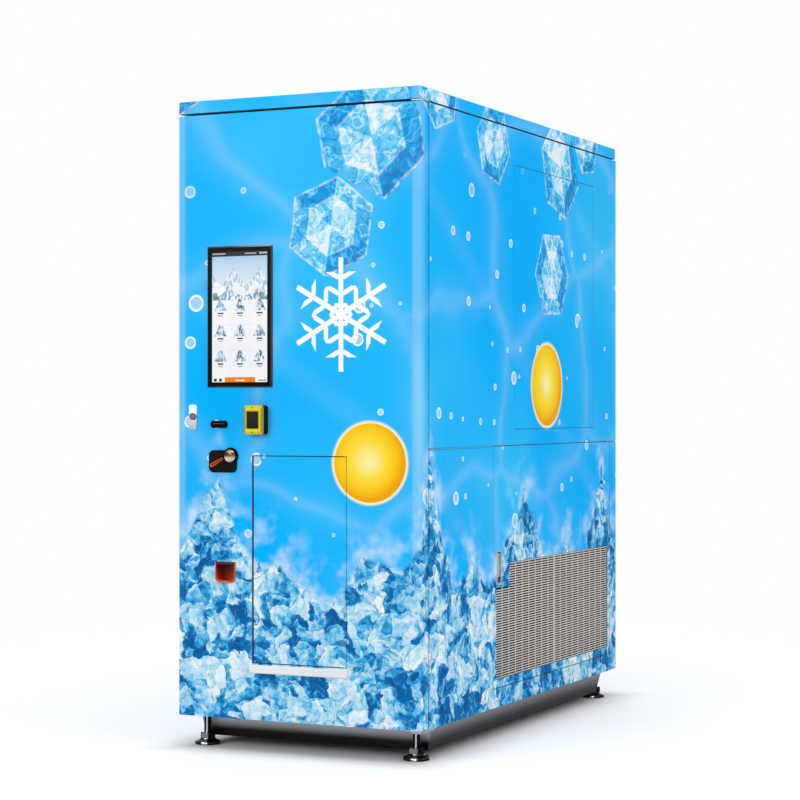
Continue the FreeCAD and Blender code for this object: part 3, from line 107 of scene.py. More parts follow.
def asColour(value):  # "1eb0ff" to linear red, green, blue, alpha; any other value is kept
    if not isinstance(value, str):
        return value
    parts = [int(value[i:i + 2], 16) / 255 for i in (0, 2, 4)]
    return tuple(c / 12.92 if c <= 0.04045 else ((c + 0.055) / 1.055) ** 2.4 for c in parts) + (1.0,)


def makeFinish(name, design, *values, **fixed):  # values go to the design, fixed ones to the shader
    finish = bpy.data.materials.new(name)
    finish.use_nodes = True
    tree = finish.node_tree
    shader = tree.nodes["Principled BSDF"]
    for word, value in fixed.items():
        label = "".join(" " + c if c.isupper() else c for c in word).replace("I O R", "IOR")
        shader.inputs[label[0].upper() + label[1:]].default_value = value
    for socket, wire in design(Wire(tree), *values).items():
        tree.links.new(wire.socket, shader.inputs[socket])
    return finish


def places(w):  # object coordinates are the machine's own, so art stays on opened doors
    return w.put("TexCoord", None, "Object")


def normals(w):
    return w.put("TexCoord", None, "Normal")


def share(w, node, axis):  # 0 to 1 along one side of a CAD node's box
    low, high = (getattr(corner, axis.lower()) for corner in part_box(node))
    return (places(w).part(axis) - low) / (high - low)


def noise(w, scale, detail=3.0, at=None, out="Fac"):
    return w.put("TexNoise", {"Vector": at or places(w), "Scale": scale, "Detail": detail}, out)


def stretched(w, x, y, z):
    return w.put("Mapping", {"Vector": places(w), "Scale": (x, y, z)})


def cells(w, scale, feature="F1", at=None, out="Distance", chance=1.0, flat=False):
    inputs = {"Vector": at or places(w), "Scale": scale, "Randomness": chance}
    return w.put("TexVoronoi", inputs, out, feature=feature, voronoi_dimensions="2D" if flat else "3D")


def warped(w, uv, scale, detail, amount):  # flat place pushed about by noise
    drift = noise(w, scale, detail, uv, "Color")
    return w.put("VectorMath", {0: drift, 1: (amount, amount, 0), 2: uv}, operation="MULTIPLY_ADD")


def ramp(wire, *stops):  # each stop is a place and a colour
    made = wire.put("ValToRGB", {0: wire})
    elements = made.socket.node.color_ramp.elements
    elements.remove(elements[-1])
    for number, (place, colour) in enumerate(stops):
        stop = elements.new(place) if number else elements[0]
        stop.position = place
        stop.color = asColour(colour)
    return made


def bump(height, strength, distance):
    return height.put("Bump", {"Height": height, "Strength": strength, "Distance": distance})


def surface(colour, rough, relief, strength, depth):  # what most finishes are made of
    return {"Base Color": colour, "Roughness": rough, "Normal": bump(relief, strength, depth)}


def farness(x, y):
    return (x * x + y * y).of("SQRT")


def flatUv(w):  # unrolled width round the corner, and height
    at = places(w)
    return at.x + (at.y - frontY), at.z, at


def joinUv(across, up):
    return across.put("CombineXYZ", {0: across, 1: up})


print("shader helpers ready")


wrapLook = {
    "azure": "00b3ff", "sky": "34c4ff", "white": "ffffff", "pale": "a9dcf3", "deep": "0f70b4",
    "foldInset": 0.013, "foldFade": (0.024, 0.008), "foldDepth": 0.03, "foldHighlightShare": 0.34,
    "veinScale": 1.6, "veinBend": 0.5, "beamLean": (0.55, 0.83), "beamPitch": 1.3, "beamShare": 0.03,
    "crown": 0.065, "metal": ("a6abaf", "979ca1"), "outerGloss": 0.2, "coat": 0.06,
}
hexRun, hexRise = 0.5, 0.866  # direction of a slanted side of a hexagon


def facingOut(w):  # 1 on the outer face of a panel, 0 inside it
    normal = normals(w)
    at = places(w)
    lean = normal.x * at.x * 2.2 + normal.y * at.y * 1.1
    return lean > 0.12


crystalLook = {
    "spacing": 2.05, "scatter": 0.62, "from": 1.6, "fewer": 0.12, "smallest": 0.11, "growth": 0.085,
    "turn": 1.05, "wobble": 0.09, "table": 0.58, "rim": 0.965, "frost": 0.66, "cover": 0.86, "ripple": 21.0,
    "tones": ((0.05, "0f70b4"), (0.3, "149fe6"), (0.52, "66cdf6"), (0.74, "c9eefc"), (0.92, "ffffff")),
}


def cutCrystals(w, colour, across, up, uv):  # six-sided cut stones floating near the top
    look = crystalLook
    pattern = {"at": uv, "chance": look["scatter"], "flat": True}
    centre = cells(w, look["spacing"], out="Position", **pattern)
    dice = cells(w, look["spacing"], out="Color", **pattern)
    size = look["smallest"] + look["growth"] * dice.x
    turn = dice.y * look["turn"]
    right = (across - centre.x) / size
    rise = (up - centre.y) / size
    cosine = turn.of("COSINE")
    sine = turn.of("SINE")
    x = right * cosine + rise * sine
    y = rise * cosine - right * sine
    wobble = (noise(w, 9.0, 3, uv) - 0.5) * look["wobble"]
    reach = abs(x).most(abs(x) * hexRun + abs(y) * hexRise) + wobble
    side = (x.math("ARCTAN2", y, x) * (3 / math.pi) + 0.5).of("FLOOR")
    shade = ((side / 6).of("FRACT") * 2.29 + dice.z).of("FRACT")  # each of the six sides has its own
    table = reach < look["table"]
    glaze = noise(w, 34.0, 5, uv)
    ripple = noise(w, look["ripple"], 2, warped(w, uv, 14.0, 3, 0.07))
    bright = abs(ripple - 0.57).soft(0.045, 0.0)  # light and dark lines bent by the ice
    dark = abs(ripple - 0.45).soft(0.035, 0.0)
    tone = shade * 0.46 + table * 0.27 + y * 0.1 + glaze * 0.5 + bright * 0.26 - dark * 0.2 - 0.07
    rim = abs(reach - look["rim"]).soft(0.05, 0.0).most(abs(reach - look["table"]).soft(0.04, 0.0) * 0.7)
    frost = rim * glaze.soft(0.3, 0.62) * look["frost"]
    stone = frost.mix(ramp(tone, *look["tones"]), wrapLook["white"])
    kept = (centre.y > look["from"]) * (dice.z > look["fewer"])
    return (kept * reach.soft(1.0, 0.97) * look["cover"]).mix(colour, stone)


bubbleLook = {"spacing": 8.0, "smallest": 0.006, "growth": 0.024, "fewer": 0.66, "fadeIn": (0.55, 0.8),
              "fadeOut": (2.05, 1.75)}


def bubbles(w, colour, uv, up):
    look = bubbleLook
    gap = cells(w, look["spacing"], at=uv, flat=True) / look["spacing"]
    dice = cells(w, look["spacing"], at=uv, out="Color", flat=True)
    radius = look["smallest"] + look["growth"] * dice.x * dice.x
    kept = (dice.y > look["fewer"]) * up.soft(*look["fadeIn"]) * up.soft(*look["fadeOut"])
    inside = (gap < radius) * kept
    ring = (abs(gap - radius * 0.86) < radius * 0.13) * kept
    colour = (inside * 0.35).mix(colour, wrapLook["white"])
    return (ring * 0.85).mix(colour, wrapLook["white"])


flakeLook = {"across": 0.165, "up": 1.44, "size": 0.185, "line": 0.0085, "ring": 0.2,
             "twigs": ((0.34, 0.16), (0.62, 0.13))}  # start and length as shares of the size


def snowFlake(colour, across, up):  # six plain arms with two pairs of twigs each
    size, line = flakeLook["size"], flakeLook["line"]
    x = across - flakeLook["across"]
    y = up - flakeLook["up"]
    radius = farness(x, y)
    fold = (x.math("ARCTAN2", y, x) * (3 / math.pi)).zigzag() * (math.pi / 3)
    along = radius * fold.of("COSINE")
    off = radius * fold.of("SINE")
    mark = (off < line) * (along < size)
    for start, length in flakeLook["twigs"]:
        twig = abs((along - start * size) * hexRise - off * hexRun) < line * 0.9
        mark = mark.most(twig * (along > start * size) * (along < (start + length) * size))
    ring = flakeLook["ring"] * size
    mark = mark.most((along < ring) * (along > ring - line * 1.7))
    return mark.mix(colour, wrapLook["white"])


discLook = {  # places are across, up and radius
    "places": ((0.27, 0.96, 0.13), (1.55, 1.22, 0.15), (-0.95, 1.0, 0.15), (3.1, 1.1, 0.15)),
    "tones": ((0.0, "fff6b0"), (0.45, "ffe23f"), (0.8, "ffc91c"), (1.0, "f5a811")), "rim": "fff7cf",
}


def brightDiscs(colour, across, up):
    for centreX, centreY, size in discLook["places"]:
        x = (across - centreX) / size
        y = (up - centreY) / size
        radius = farness(x, y)
        ball = ramp(radius + (x - y) * 0.12, *discLook["tones"])
        colour = radius.soft(1.09, 1.0).mix(colour, discLook["rim"])
        colour = radius.soft(1.0, 0.97).mix(colour, ball)
    return colour


heapLook = {
    "shard": 11.0, "chip": 29.0, "foot": 0.42, "peaks": 0.36, "bumps": 0.11, "rough": 0.2, "mist": 0.2,
    "bend": 0.12, "chipLit": "d4effb", "chipDark": "1a6db8",
    "tones": ((0.06, "0a5a99"), (0.2, "0f70b4"), (0.31, "3aaee4"), (0.46, "a9dcf3"), (0.64, "e6f4fb"),
              (0.82, "ffffff")),
}


def stones(w, at, scale):  # tone of each stone with its two halves, lean to the light, and edge
    centre = cells(w, scale, at=at, out="Position", flat=True)
    dice = cells(w, scale, at=at, out="Color", flat=True)
    right = (at.x - centre.x) * scale
    rise = (at.y - centre.y) * scale
    turn, tip = dice.x * 2 - 1, dice.y * 2 - 1
    half = (right * turn + rise * tip) > 0.0
    tone = dice.z * 0.62 + half * 0.2 + (right * tip - rise * turn) * 0.3
    return tone, rise * 0.8 - right * 0.6, cells(w, scale, "DISTANCE_TO_EDGE", at, flat=True)


def iceHeap(w, colour, across, up, uv):  # broken ice along the foot of the machine
    look = heapLook
    bent = warped(w, uv, 11.0, 4, look["bend"])
    big, bigLean, bigEdge = stones(w, bent, look["shard"])
    small, smallLean, smallEdge = stones(w, bent, look["chip"])
    glaze = noise(w, 60.0, 4, uv)
    tone = big * 0.5 + small * 0.46 + glaze * 0.4 - 0.2
    lit = tone.soft(0.2, 0.5)
    edge, chip = bigEdge.soft(0.07, 0.0), smallEdge.soft(0.08, 0.0)
    ice = ramp(tone, *look["tones"])
    ice = (edge * bigLean.soft(0.0, 0.4) * glaze.soft(0.35, 0.65) * lit * 0.6).mix(ice, wrapLook["white"])
    ice = (edge * bigLean.soft(0.05, -0.4) * glaze.soft(0.7, 0.35)).mix(ice, wrapLook["deep"])
    ice = (chip * smallLean.soft(0.0, 0.4) * (0.15 + 0.5 * lit)).mix(ice, look["chipLit"])
    ice = (chip * smallLean.soft(0.05, -0.4) * 0.45).mix(ice, look["chipDark"])
    wide = (across * 1.24 + 0.36).zigzag() * 2
    narrow = (across * 3.3 + 0.2).zigzag() * 2
    crest = look["foot"] + look["peaks"] * wide * wide * wide + look["bumps"] * narrow
    top = crest + look["rough"] * noise(w, 5.0, 2, uv)
    mist = (top + look["mist"] - up).soft(0.0, look["mist"]) * noise(w, 11.0, 5, uv).soft(0.42, 0.72) * 0.5
    colour = mist.mix(colour, wrapLook["white"])  # frost smoke over the heap
    return (top - up).soft(0.0, 0.035).mix(colour, ice)


def wrapPrint(w):
    look = wrapLook
    across, up, at = flatUv(w)
    uv = joinUv(across, up)
    colour = noise(w, 0.9, 2, uv).soft(0.36, 0.72).mix(look["azure"], look["sky"])
    edge = abs(abs(at.x) - (doorEdge - look["foldInset"])).soft(*look["foldFade"])
    fold = edge * (at.y < frontY + look["foldDepth"]) * look["foldHighlightShare"]
    colour = fold.mix(colour, look["pale"])  # painted highlight: a pale band along the door's folded edges, where the rounded corners would catch light
    vein = cells(w, look["veinScale"], "DISTANCE_TO_EDGE", warped(w, uv, 1.5, 2, look["veinBend"]), flat=True)
    colour = (vein.soft(0.2, 0.0) * 0.03 + vein.soft(0.075, 0.0) * 0.06).mix(colour, look["white"])
    run, climb = look["beamLean"]
    beam = ((across * run + up * climb) * look["beamPitch"] + 0.15).zigzag().soft(0.09, 0.0)
    colour = (beam * look["beamShare"]).mix(colour, look["white"])
    colour = bubbles(w, colour, uv, up)
    colour = cutCrystals(w, colour, across, up, uv)
    colour = brightDiscs(colour, across, up)
    colour = snowFlake(colour, across, up)
    colour = iceHeap(w, colour, across, up, uv)
    grain = noise(w, 40.0, 4)
    cloud = grain.soft(0.3, 0.7)
    crown = (normals(w).z > 0.6) * (up > capTop - look["crown"])
    colour = crown.mix(colour, cloud.mix(look["azure"], look["sky"]))  # the roof of the cap is plain paint
    outer = facingOut(w).most(crown)
    return {"Base Color": outer.mix(cloud.mix(*look["metal"]), colour),
            "Roughness": 0.42 - outer * look["outerGloss"] + grain * 0.06,
            "Metallic": 0.6 - outer * 0.6, "Coat Weight": outer * look["coat"],
            "Normal": bump(noise(w, 260.0, 2), 0.05, 0.0004)}


wrapFinish = makeFinish("printedWrap", wrapPrint, coatRoughness=0.12, specularIORLevel=0.0)
print("wrap print ready")


def coatedSheet(w, base, shade, peel=0.1):  # powder-coated steel
    cloud = noise(w, 3.2, 4)
    speck = noise(w, 420.0, 2)
    colour = (cloud.soft(0.3, 0.75) * 0.8 + speck * 0.2).mix(base, shade)
    return surface(colour, 0.34 + 0.2 * cloud, speck, peel, 0.0006)


def spangledZinc(w, base, shade, size=62.0):  # galvanised sheet with its frost-like spangle
    tone = cells(w, size, out="Color").x
    cloud = noise(w, 5.0, 4)
    colour = (tone * 0.55 + cloud * 0.35).mix(base, shade)
    return surface(colour, 0.36 + 0.12 * tone + 0.08 * cloud, noise(w, 160.0, 3), 0.06, 0.0005)


def brushedMetal(w, base, shade, way, smooth=0.2):  # hairlines that run along the short side of way
    hair = noise(w, 50.0, 5, stretched(w, *way))
    cloud = noise(w, 4.0, 3)
    colour = (hair.soft(0.3, 0.7) * 0.75 + cloud * 0.25).mix(shade, base)
    return surface(colour, smooth + 0.16 * hair + 0.08 * cloud, hair, 0.09, 0.0003)


def mouldedPlastic(w, base, shade, grain=620.0, rough=0.34, depth=0.12):
    pits = cells(w, grain)
    cloud = noise(w, 9.0, 3)
    colour = (cloud.soft(0.3, 0.75) * 0.85 + pits * 0.15).mix(base, shade)
    return surface(colour, rough + 0.12 * cloud, pits, depth, 0.0003)


def softRubber(w, base, shade):
    dust = noise(w, 24.0, 5)
    colour = dust.soft(0.4, 0.8).mix(base, shade)
    return surface(colour, 0.62 + 0.2 * dust, noise(w, 300.0, 2), 0.2, 0.0005)


def mirrorMetal(w, base, shade):  # chrome with faint wipe marks
    wipe = noise(w, 30.0, 4, stretched(w, 1.0, 1.0, 6.0))
    colour = wipe.soft(0.35, 0.7).mix(base, shade)
    return surface(colour, 0.05 + 0.12 * wipe, wipe, 0.02, 0.0003)


def chromePaintedReflections(w, dark, bright):  # dark chrome with painted reflections: bright streaks up its round sides
    normal = normals(w)
    wipe = noise(w, 30.0, 4, stretched(w, 1.0, 1.0, 6.0))
    angle = normal.math("ARCTAN2", normal.y, normal.x)
    turn = angle * (2 / math.pi) + 0.35
    # painted reflection: bright bands set by the way each face turns
    streak = turn.zigzag().soft(0.2, 0.06) * (0.75 + 0.4 * wipe)
    colour = streak.mix(dark, bright)
    return surface(colour, 0.06 + 0.12 * wipe, wipe, 0.02, 0.0003)


def pushChromePaintedBands(w):  # warm chrome with painted reflection bands, paler where the lower half would mirror the floor
    wipe = noise(w, 60.0, 4)
    rise = share(w, "coin_button", "Z") + 0.3 * wipe - 0.15
    colour = ramp(rise, (0.0, "9a7f6c"), (0.3, "e6d2c2"), (0.5, "6e5b4e"),
                  (0.7, "33281f"), (0.86, "a08f80"), (1.0, "33281f"))
    return surface(colour, 0.06 + 0.12 * wipe, wipe, 0.03, 0.0003)


def plateSteelPaintedLight(w):  # brushed lock plate with painted light that pales it at its top
    rise = share(w, "lock_plate", "Z")
    hair = noise(w, 50.0, 5, stretched(w, 5, 5, 0.5))
    colour = ramp(rise + 0.2 * hair - 0.1, (0.0, "94999d"), (0.5, "b9bdc0"),
                  (0.75, "dfe3e6"), (1.0, "e9edef"))
    return surface(colour, 0.24 + 0.16 * hair, hair, 0.09, 0.0003)


def plinthPaintedShade(w):  # grey under the cabinet with painted shade that darkens it to black at the floor
    up = share(w, "base_plinth", "Z")
    cloud = noise(w, 4.0, 4)
    normal = normals(w)
    colour = ramp(up + 0.1 * cloud - 0.05, (0.0, "050505"), (0.3, "0d0d0d"), (0.5, "414244"),
                  (0.8, "7a7c7f"), (1.0, "97999c"))
    # painted light: front and rear plates paler towards their tops
    colour = ((abs(normal.y) > 0.5) * up.soft(0.3, 0.8) * 0.75).mix(colour, "dfe1e3")
    return surface(colour, 0.3 + 0.2 * cloud, noise(w, 380.0, 2), 0.1, 0.0006)


def readerPlasticPaintedShade(w):  # yellow with olive painted shade on its slopes
    made = mouldedPlastic(w, "e9dd2e", "d3be1c", 540.0, 0.28, 0.1)
    normal = normals(w)
    slope = abs(normal.x).soft(0.2, 0.6) * 0.8 + abs(normal.z).soft(0.3, 0.7) * 0.2
    return made | {"Base Color": slope.mix(made["Base Color"], "7d771a")}


def bezelGlossPaintedHighlights(w):  # black gloss with painted highlights paler on the sloped sides
    normal = normals(w)
    cloud = noise(w, 9.0, 3)
    pits = cells(w, 700.0)
    along = share(w, "screen_bezel", "X")
    slope = abs(normal.y).soft(0.98, 0.75) * (0.1 + 0.12 * cloud)
    paintedShine = (normal.z > 0.3) * along.soft(0.1, 1.0)  # painted highlight: the top slope paler to the right
    colour = slope.most(paintedShine).mix(cloud.mix("050506", "0d0d0f"), "9b9da0")
    return surface(colour, 0.14 + 0.12 * cloud, pits, 0.04, 0.0003)


def cupPlastic(w):  # dark at the mouth as painted shade, brighter as painted light where light would pool in the bottom
    rise = share(w, "coin_cup", "Z")
    cloud = noise(w, 40.0, 3)
    colour = ramp(rise + 0.2 * cloud - 0.1, (0.0, "d4542a"), (0.3, "ad3519"), (0.65, "6e1d15"),
                  (1.0, "521411"))
    return surface(colour, 0.24 + 0.1 * cloud, cells(w, 420.0), 0.08, 0.0003)


def slottedSheet(w):  # painted steel, with painted shade dark on the cut walls of the slots
    made = coatedSheet(w, "d6d1cc", "c0bbb6")
    face = abs(normals(w).x) > 0.6
    return made | {"Base Color": face.mix("0c0b0a", made["Base Color"]), "Coat Weight": face * 0.2}


def finnedCoil(w):  # thin upright fins packed along the coil
    fin = (places(w).y * 320).zigzag() * 2
    cloud = noise(w, 14.0, 4)
    colour = (fin * 0.7 + cloud * 0.3).mix("565c61", "c9d0d4")
    return surface(colour, 0.28 + 0.2 * cloud, fin, 0.5, 0.001)


def copperTube(w):
    stain = noise(w, 26.0, 5)
    colour = ramp(stain, (0.25, "6e3a22"), (0.5, "b8683c"), (0.75, "d98a5a"))
    return surface(colour, 0.22 + 0.25 * stain, noise(w, 90.0, 3), 0.08, 0.0005)


finishes = {
    "cap_blue": wrapFinish,
    "wrap_blue": wrapFinish,
    "gap_navy": makeFinish("roofPaint", coatedSheet, "1a2a44", "101c30"),
    "frame_grey": makeFinish("frameZinc", spangledZinc, "8b9195", "b6bcc0", metallic=0.85),
    "plinth_grey": makeFinish("plinthPaintedShade", plinthPaintedShade, specularIORLevel=0.2),
    "foot_black": makeFinish("footDark", chromePaintedReflections, "232426", "d8dadc", metallic=1.0),
    "foot_steel": makeFinish("footPolishedPaintedGlints", chromePaintedReflections, "1c1d1f", "f4f5f6", metallic=1.0),
    "pin_steel": makeFinish("pinSteel", brushedMetal, "c3c6c9", "85888c", (5, 5, 0.5), metallic=0.95),
    "seal_rubber": makeFinish("sealRubber", softRubber, "17181a", "2d2e30"),
    "door_steel": makeFinish("doorZinc", spangledZinc, "9da2a6", "c4c9cc", 56.0, metallic=0.85),
    "bezel_black": makeFinish("bezelGlossPaintedHighlights", bezelGlossPaintedHighlights, specularIORLevel=0.04),
    "device_grey": makeFinish("devicePaint", coatedSheet, "5d6268", "4c5157"),
    "reader_black": makeFinish("readerBlack", mouldedPlastic, "070708", "121214", 560.0, 0.3,
                               specularIORLevel=0.06),
    "reader_yellow": makeFinish("readerYellow", readerPlasticPaintedShade, specularIORLevel=0.2),
    "entry_orange": makeFinish("entryOrange", mouldedPlastic, "dd5f1c", "b34414", 520.0, 0.24,
                               specularIORLevel=0.25),
    "button_chrome": makeFinish("buttonChrome", mirrorMetal, "8f7f6f", "54473b", metallic=1.0),
    "cup_red": makeFinish("cupRed", cupPlastic, specularIORLevel=0.25),
    "sill_white": makeFinish("sillWhite", coatedSheet, "f2f4f5", "dfe3e5", coatWeight=0.2),
    "outlet_steel": makeFinish("outletSteel", brushedMetal, "cfd3d6", "989da1", (6, 6, 0.5), 0.24,
                               metallic=0.95),
    "bin_white": makeFinish("binWhite", mouldedPlastic, "e8ecee", "d4dade", 180.0, 0.4),
    "motor_grey": makeFinish("motorPaint", coatedSheet, "4a5057", "363b41", 0.2),
    "shroud_steel": makeFinish("shroudZinc", spangledZinc, "878d92", "b1b7bb", 70.0, metallic=0.8),
    "fan_black": makeFinish("fanBlack", mouldedPlastic, "1b1c1e", "2a2b2e", 480.0, 0.38),
    "coil_alu": makeFinish("coilFins", finnedCoil, metallic=0.9),
    "compressor_black": makeFinish("compressorPaint", coatedSheet, "17181a", "26282b", 0.15, coatWeight=0.3),
    "pipe_copper": makeFinish("pipeCopper", copperTube, metallic=1.0),
    "tank_plastic": makeFinish("tankPlastic", mouldedPlastic, "cfe0ea", "b3cad8", 140.0, 0.36),
    "filter_blue": makeFinish("filterBlue", mouldedPlastic, "2f6fc0", "1f57a0", 420.0, 0.22, coatWeight=0.3),
    "fitting_plastic": makeFinish("fittingPlastic", mouldedPlastic, "3b3f44", "2a2d31", 460.0, 0.4),
    "grille_grey": makeFinish("grillePaintedSlotShade", slottedSheet, specularIORLevel=0.0),
}
print("finishes ready:", len(finishes))

screenLook = {  # places are shares of the glass, blocks are left, low, right and high
    "header": "17181b", "page": "f7f8f9", "rule": "e3e6e9", "grass": "3f7f4a", "headerFrom": 0.953,
    "bannerFrom": 0.625, "footerTo": 0.062, "rows": (0.545, 0.355, 0.165), "columns": (0.165, 0.5, 0.833),
    "bars": (("33404c", 0.05, 0.018, 0.0055), ("c4796a", 0.035, 0.036, 0.0035)),  # half width, drop, thin
    "air": ((0.0, "f2f8fb"), (0.35, "dcebf4"), (0.8, "c3dcf0"), (1.0, "a9cdea")), "snow": "f8fcfe",
    "ridges": ((0.72, 0.14, 2.3, 0.1, "a9c6dc"), (0.68, 0.09, 3.1, 0.62, "e9f2f8"),
               (0.645, 0.06, 2.0, 0.37, "6f9cc4")),  # foot, height, pitch, shift, colour
    "ice": ((0.0, "35506c"), (0.4, "8fb4d2"), (0.7, "dbe9f3"), (1.0, "f4f9fc")), "iceScale": 46.0,
    "footBlocks": (("f58220", 0.24, 0.0, 0.76, 0.048), ("33404c", 0.05, 0.016, 0.1, 0.038),
                   ("33404c", 0.14, 0.016, 0.19, 0.038), ("7c858d", 0.82, 0.02, 0.955, 0.029)),
    "orderBar": "ffe3c4", "headMarks": "d8d4d0",
    "headBlocks": ((0.02, 0.968, 0.25, 0.978), (0.58, 0.968, 0.78, 0.976), (0.83, 0.966, 0.97, 0.98)),
}


def block(s, t, left, low, right, high):
    return (s > left) * (s < right) * (t > low) * (t < high)


def landscape(w, s, t, st):  # ridges under a pale sky, with grass at both sides
    look = screenLook
    air = ramp((t - look["bannerFrom"]) / (look["headerFrom"] - look["bannerFrom"]), *look["air"])
    rough = noise(w, 9.0, 5, st)
    for foot, tall, pitch, shift, tint in look["ridges"]:
        wave = (s * pitch + shift).zigzag() * 2
        ridge = foot + tall * wave + 0.07 * (rough - 0.5)
        air = (ridge > t).mix(air, noise(w, 26.0, 3, st).soft(0.42, 0.6).mix(tint, look["snow"]))
    grass = (t < 0.665 + 0.03 * rough) * (abs(s - 0.5) > 0.33) * (rough > 0.5)
    return (grass * 0.8).mix(air, look["grass"])


def screenPicture(w):  # generic selling page: a cold landscape, nine ice portions and one order button
    look = screenLook
    s = share(w, "screen_glass", "X")
    t = share(w, "screen_glass", "Z")
    st = joinUv(s, t)
    picture = (t > look["bannerFrom"]).mix(look["page"], landscape(w, s, t, st))
    ice = ramp(cells(w, look["iceScale"], at=st, out="Color", flat=True).x, *look["ice"])
    for row in look["rows"]:
        for column in look["columns"]:
            x = abs(s - column)
            y = t - row
            pile = (y > 0.0) * (x * 0.95 + y * 0.9 < 0.1) * (y < 0.085)
            picture = pile.mix(picture, ice)
            for tint, half, drop, thin in look["bars"]:
                picture = ((x < half) * (abs(y + drop) < thin)).mix(picture, tint)
    body = (t > look["footerTo"]) * (t < look["bannerFrom"])
    rule = (abs(abs(s - 0.5) - 0.167) < 0.003).most(abs(abs(t - 0.345) - 0.095) < 0.0018)
    picture = (rule * body).mix(picture, look["rule"])
    for tint, *span in look["footBlocks"]:
        picture = block(s, t, *span).mix(picture, tint)
    picture = (abs(s - 0.5).soft(0.09, 0.07) * (abs(t - 0.024) < 0.006)).mix(picture, look["orderBar"])
    picture = (t > look["headerFrom"]).mix(picture, look["header"])
    for span in look["headBlocks"]:
        picture = (block(s, t, *span) * 0.7).mix(picture, look["headMarks"])
    pixel = noise(w, 900.0, 2)
    return {"Emission Color": picture, "Base Color": (pixel * 0.2).mix("08090a", "1c1e21"),
            "Roughness": 0.05 + 0.05 * pixel}


def darkPane(w):  # unlit glass over a brown-black display, paler towards the top as a painted reflection
    rise = share(w, "card_reader_screen", "Z")
    smear = noise(w, 40.0, 4, stretched(w, 1, 1, 0.3))
    colour = (rise * 0.5 + smear * 0.4).mix("0c0906", "2a2119")
    return {"Base Color": colour, "Roughness": 0.06 + 0.14 * smear}


finishes["screen_dark"] = makeFinish("screenPicture", screenPicture, emissionStrength=0.95, coatWeight=0.05,
                                     specularIORLevel=0.08)
paneFinish = makeFinish("readerPane", darkPane, specularIORLevel=0.15)
pushFinish = makeFinish("pushChromePaintedBands", pushChromePaintedBands, metallic=1.0)
plateFinish = makeFinish("plateSteelPaintedLight", plateSteelPaintedLight, metallic=0.9)
slotOf = {part["node"]: part["material_slot"] for part in frame["record"]["subparts"]}


def dress(node, finish):
    for place in frame["nodes"][node].material_slots:
        place.material = finish


for node, slot in slotOf.items():
    dress(node, finishes[slot])
dress("card_reader_screen", paneFinish)
dress("latch_plate", finishes["pin_steel"])
dress("lock_plate", plateFinish)
dress("outlet_frame", wrapFinish)  # its front edge carries the print
print("finishes on", len(slotOf), "nodes")


def linked(name, data):
    piece = bpy.data.objects.new(name, data)
    bpy.context.collection.objects.link(piece)
    return piece


meshLook = {"merge": 1e-6, "sharpAngle": 34}


def addPiece(name, work, finish, body, slot, *nodes):  # rides on body and stands in for the nodes; slot is not used
    bmesh.ops.remove_doubles(work, verts=work.verts[:], dist=meshLook["merge"])
    bmesh.ops.recalc_face_normals(work, faces=work.faces[:])
    mesh = bpy.data.meshes.new(name)
    work.to_mesh(mesh)
    work.free()
    mesh.polygons.foreach_set("use_smooth", [True] * len(mesh.polygons))
    mesh.set_sharp_from_angle(angle=math.radians(meshLook["sharpAngle"]))
    mesh.materials.append(finishes.get(finish, finish))  # a slot's name or a finish of its own
    piece = linked(name, mesh)
    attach(piece, body)
    if nodes:
        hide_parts(*nodes)


def bridge(work, loops, capStart=False, capEnd=False):  # skin over rings that have the same number of points
    rings = [[work.verts.new(point) for point in loop] for loop in loops]
    for lower, upper in zip(rings, rings[1:]):
        for i in range(len(lower)):
            j = (i + 1) % len(lower)
            work.faces.new((lower[i], lower[j], upper[j], upper[i]))
    if capStart:
        work.faces.new(rings[0][::-1])
    if capEnd:
        work.faces.new(rings[-1])


def lathe(profile, centre, axis, segments, rib=0.0):  # rings of an outline turned about a line through centre
    loops = []
    for radius, height in profile:
        loop = []
        for i in range(segments):
            angle = 2 * math.pi * i / segments
            reach = radius + rib * (i % 2)
            a, b = reach * math.cos(angle), reach * math.sin(angle)
            offset = {"Z": (a, b, height), "Y": (a, height, b), "X": (height, a, b)}[axis]
            loop.append(Vector(centre) + Vector(offset))
        loops.append(loop)
    return loops


def turned(work, profile, centre, axis="Z", segments=40):
    bridge(work, lathe(profile, centre, axis, segments), True, True)


def ringed(work, profile, centre, axis="Z", segments=56, rib=0.0):  # closed ring, ribbed or plain
    bridge(work, lathe(profile + profile[:1], centre, axis, segments, rib))


def rod(work, start, end, radius, sides=10):  # straight wire with eased ends
    start, end = Vector(start), Vector(end)
    run = end - start
    turn = run.to_track_quat("Z", "X")
    ease = run.normalized() * radius * 0.5
    circle = [turn @ Vector((math.cos(a), math.sin(a), 0)) * radius
              for a in (2 * math.pi * i / sides for i in range(sides))]
    loops = [[place + point * wide for point in circle]
             for place, wide in ((start, 0.6), (start + ease, 1.0), (end - ease, 1.0), (end, 0.6))]
    bridge(work, loops, True, True)


def cornered(left, right, low, high, radius, depth, steps=6):  # rounded rectangle facing the front
    loop = []
    corners = ((right - radius, high - radius, 0), (left + radius, high - radius, 90),
               (left + radius, low + radius, 180), (right - radius, low + radius, 270))
    for x, z, start in corners:
        for i in range(steps + 1):
            angle = math.radians(start + 90 * i / steps)
            loop.append(Vector((x + radius * math.cos(angle), depth, z + radius * math.sin(angle))))
    return loop


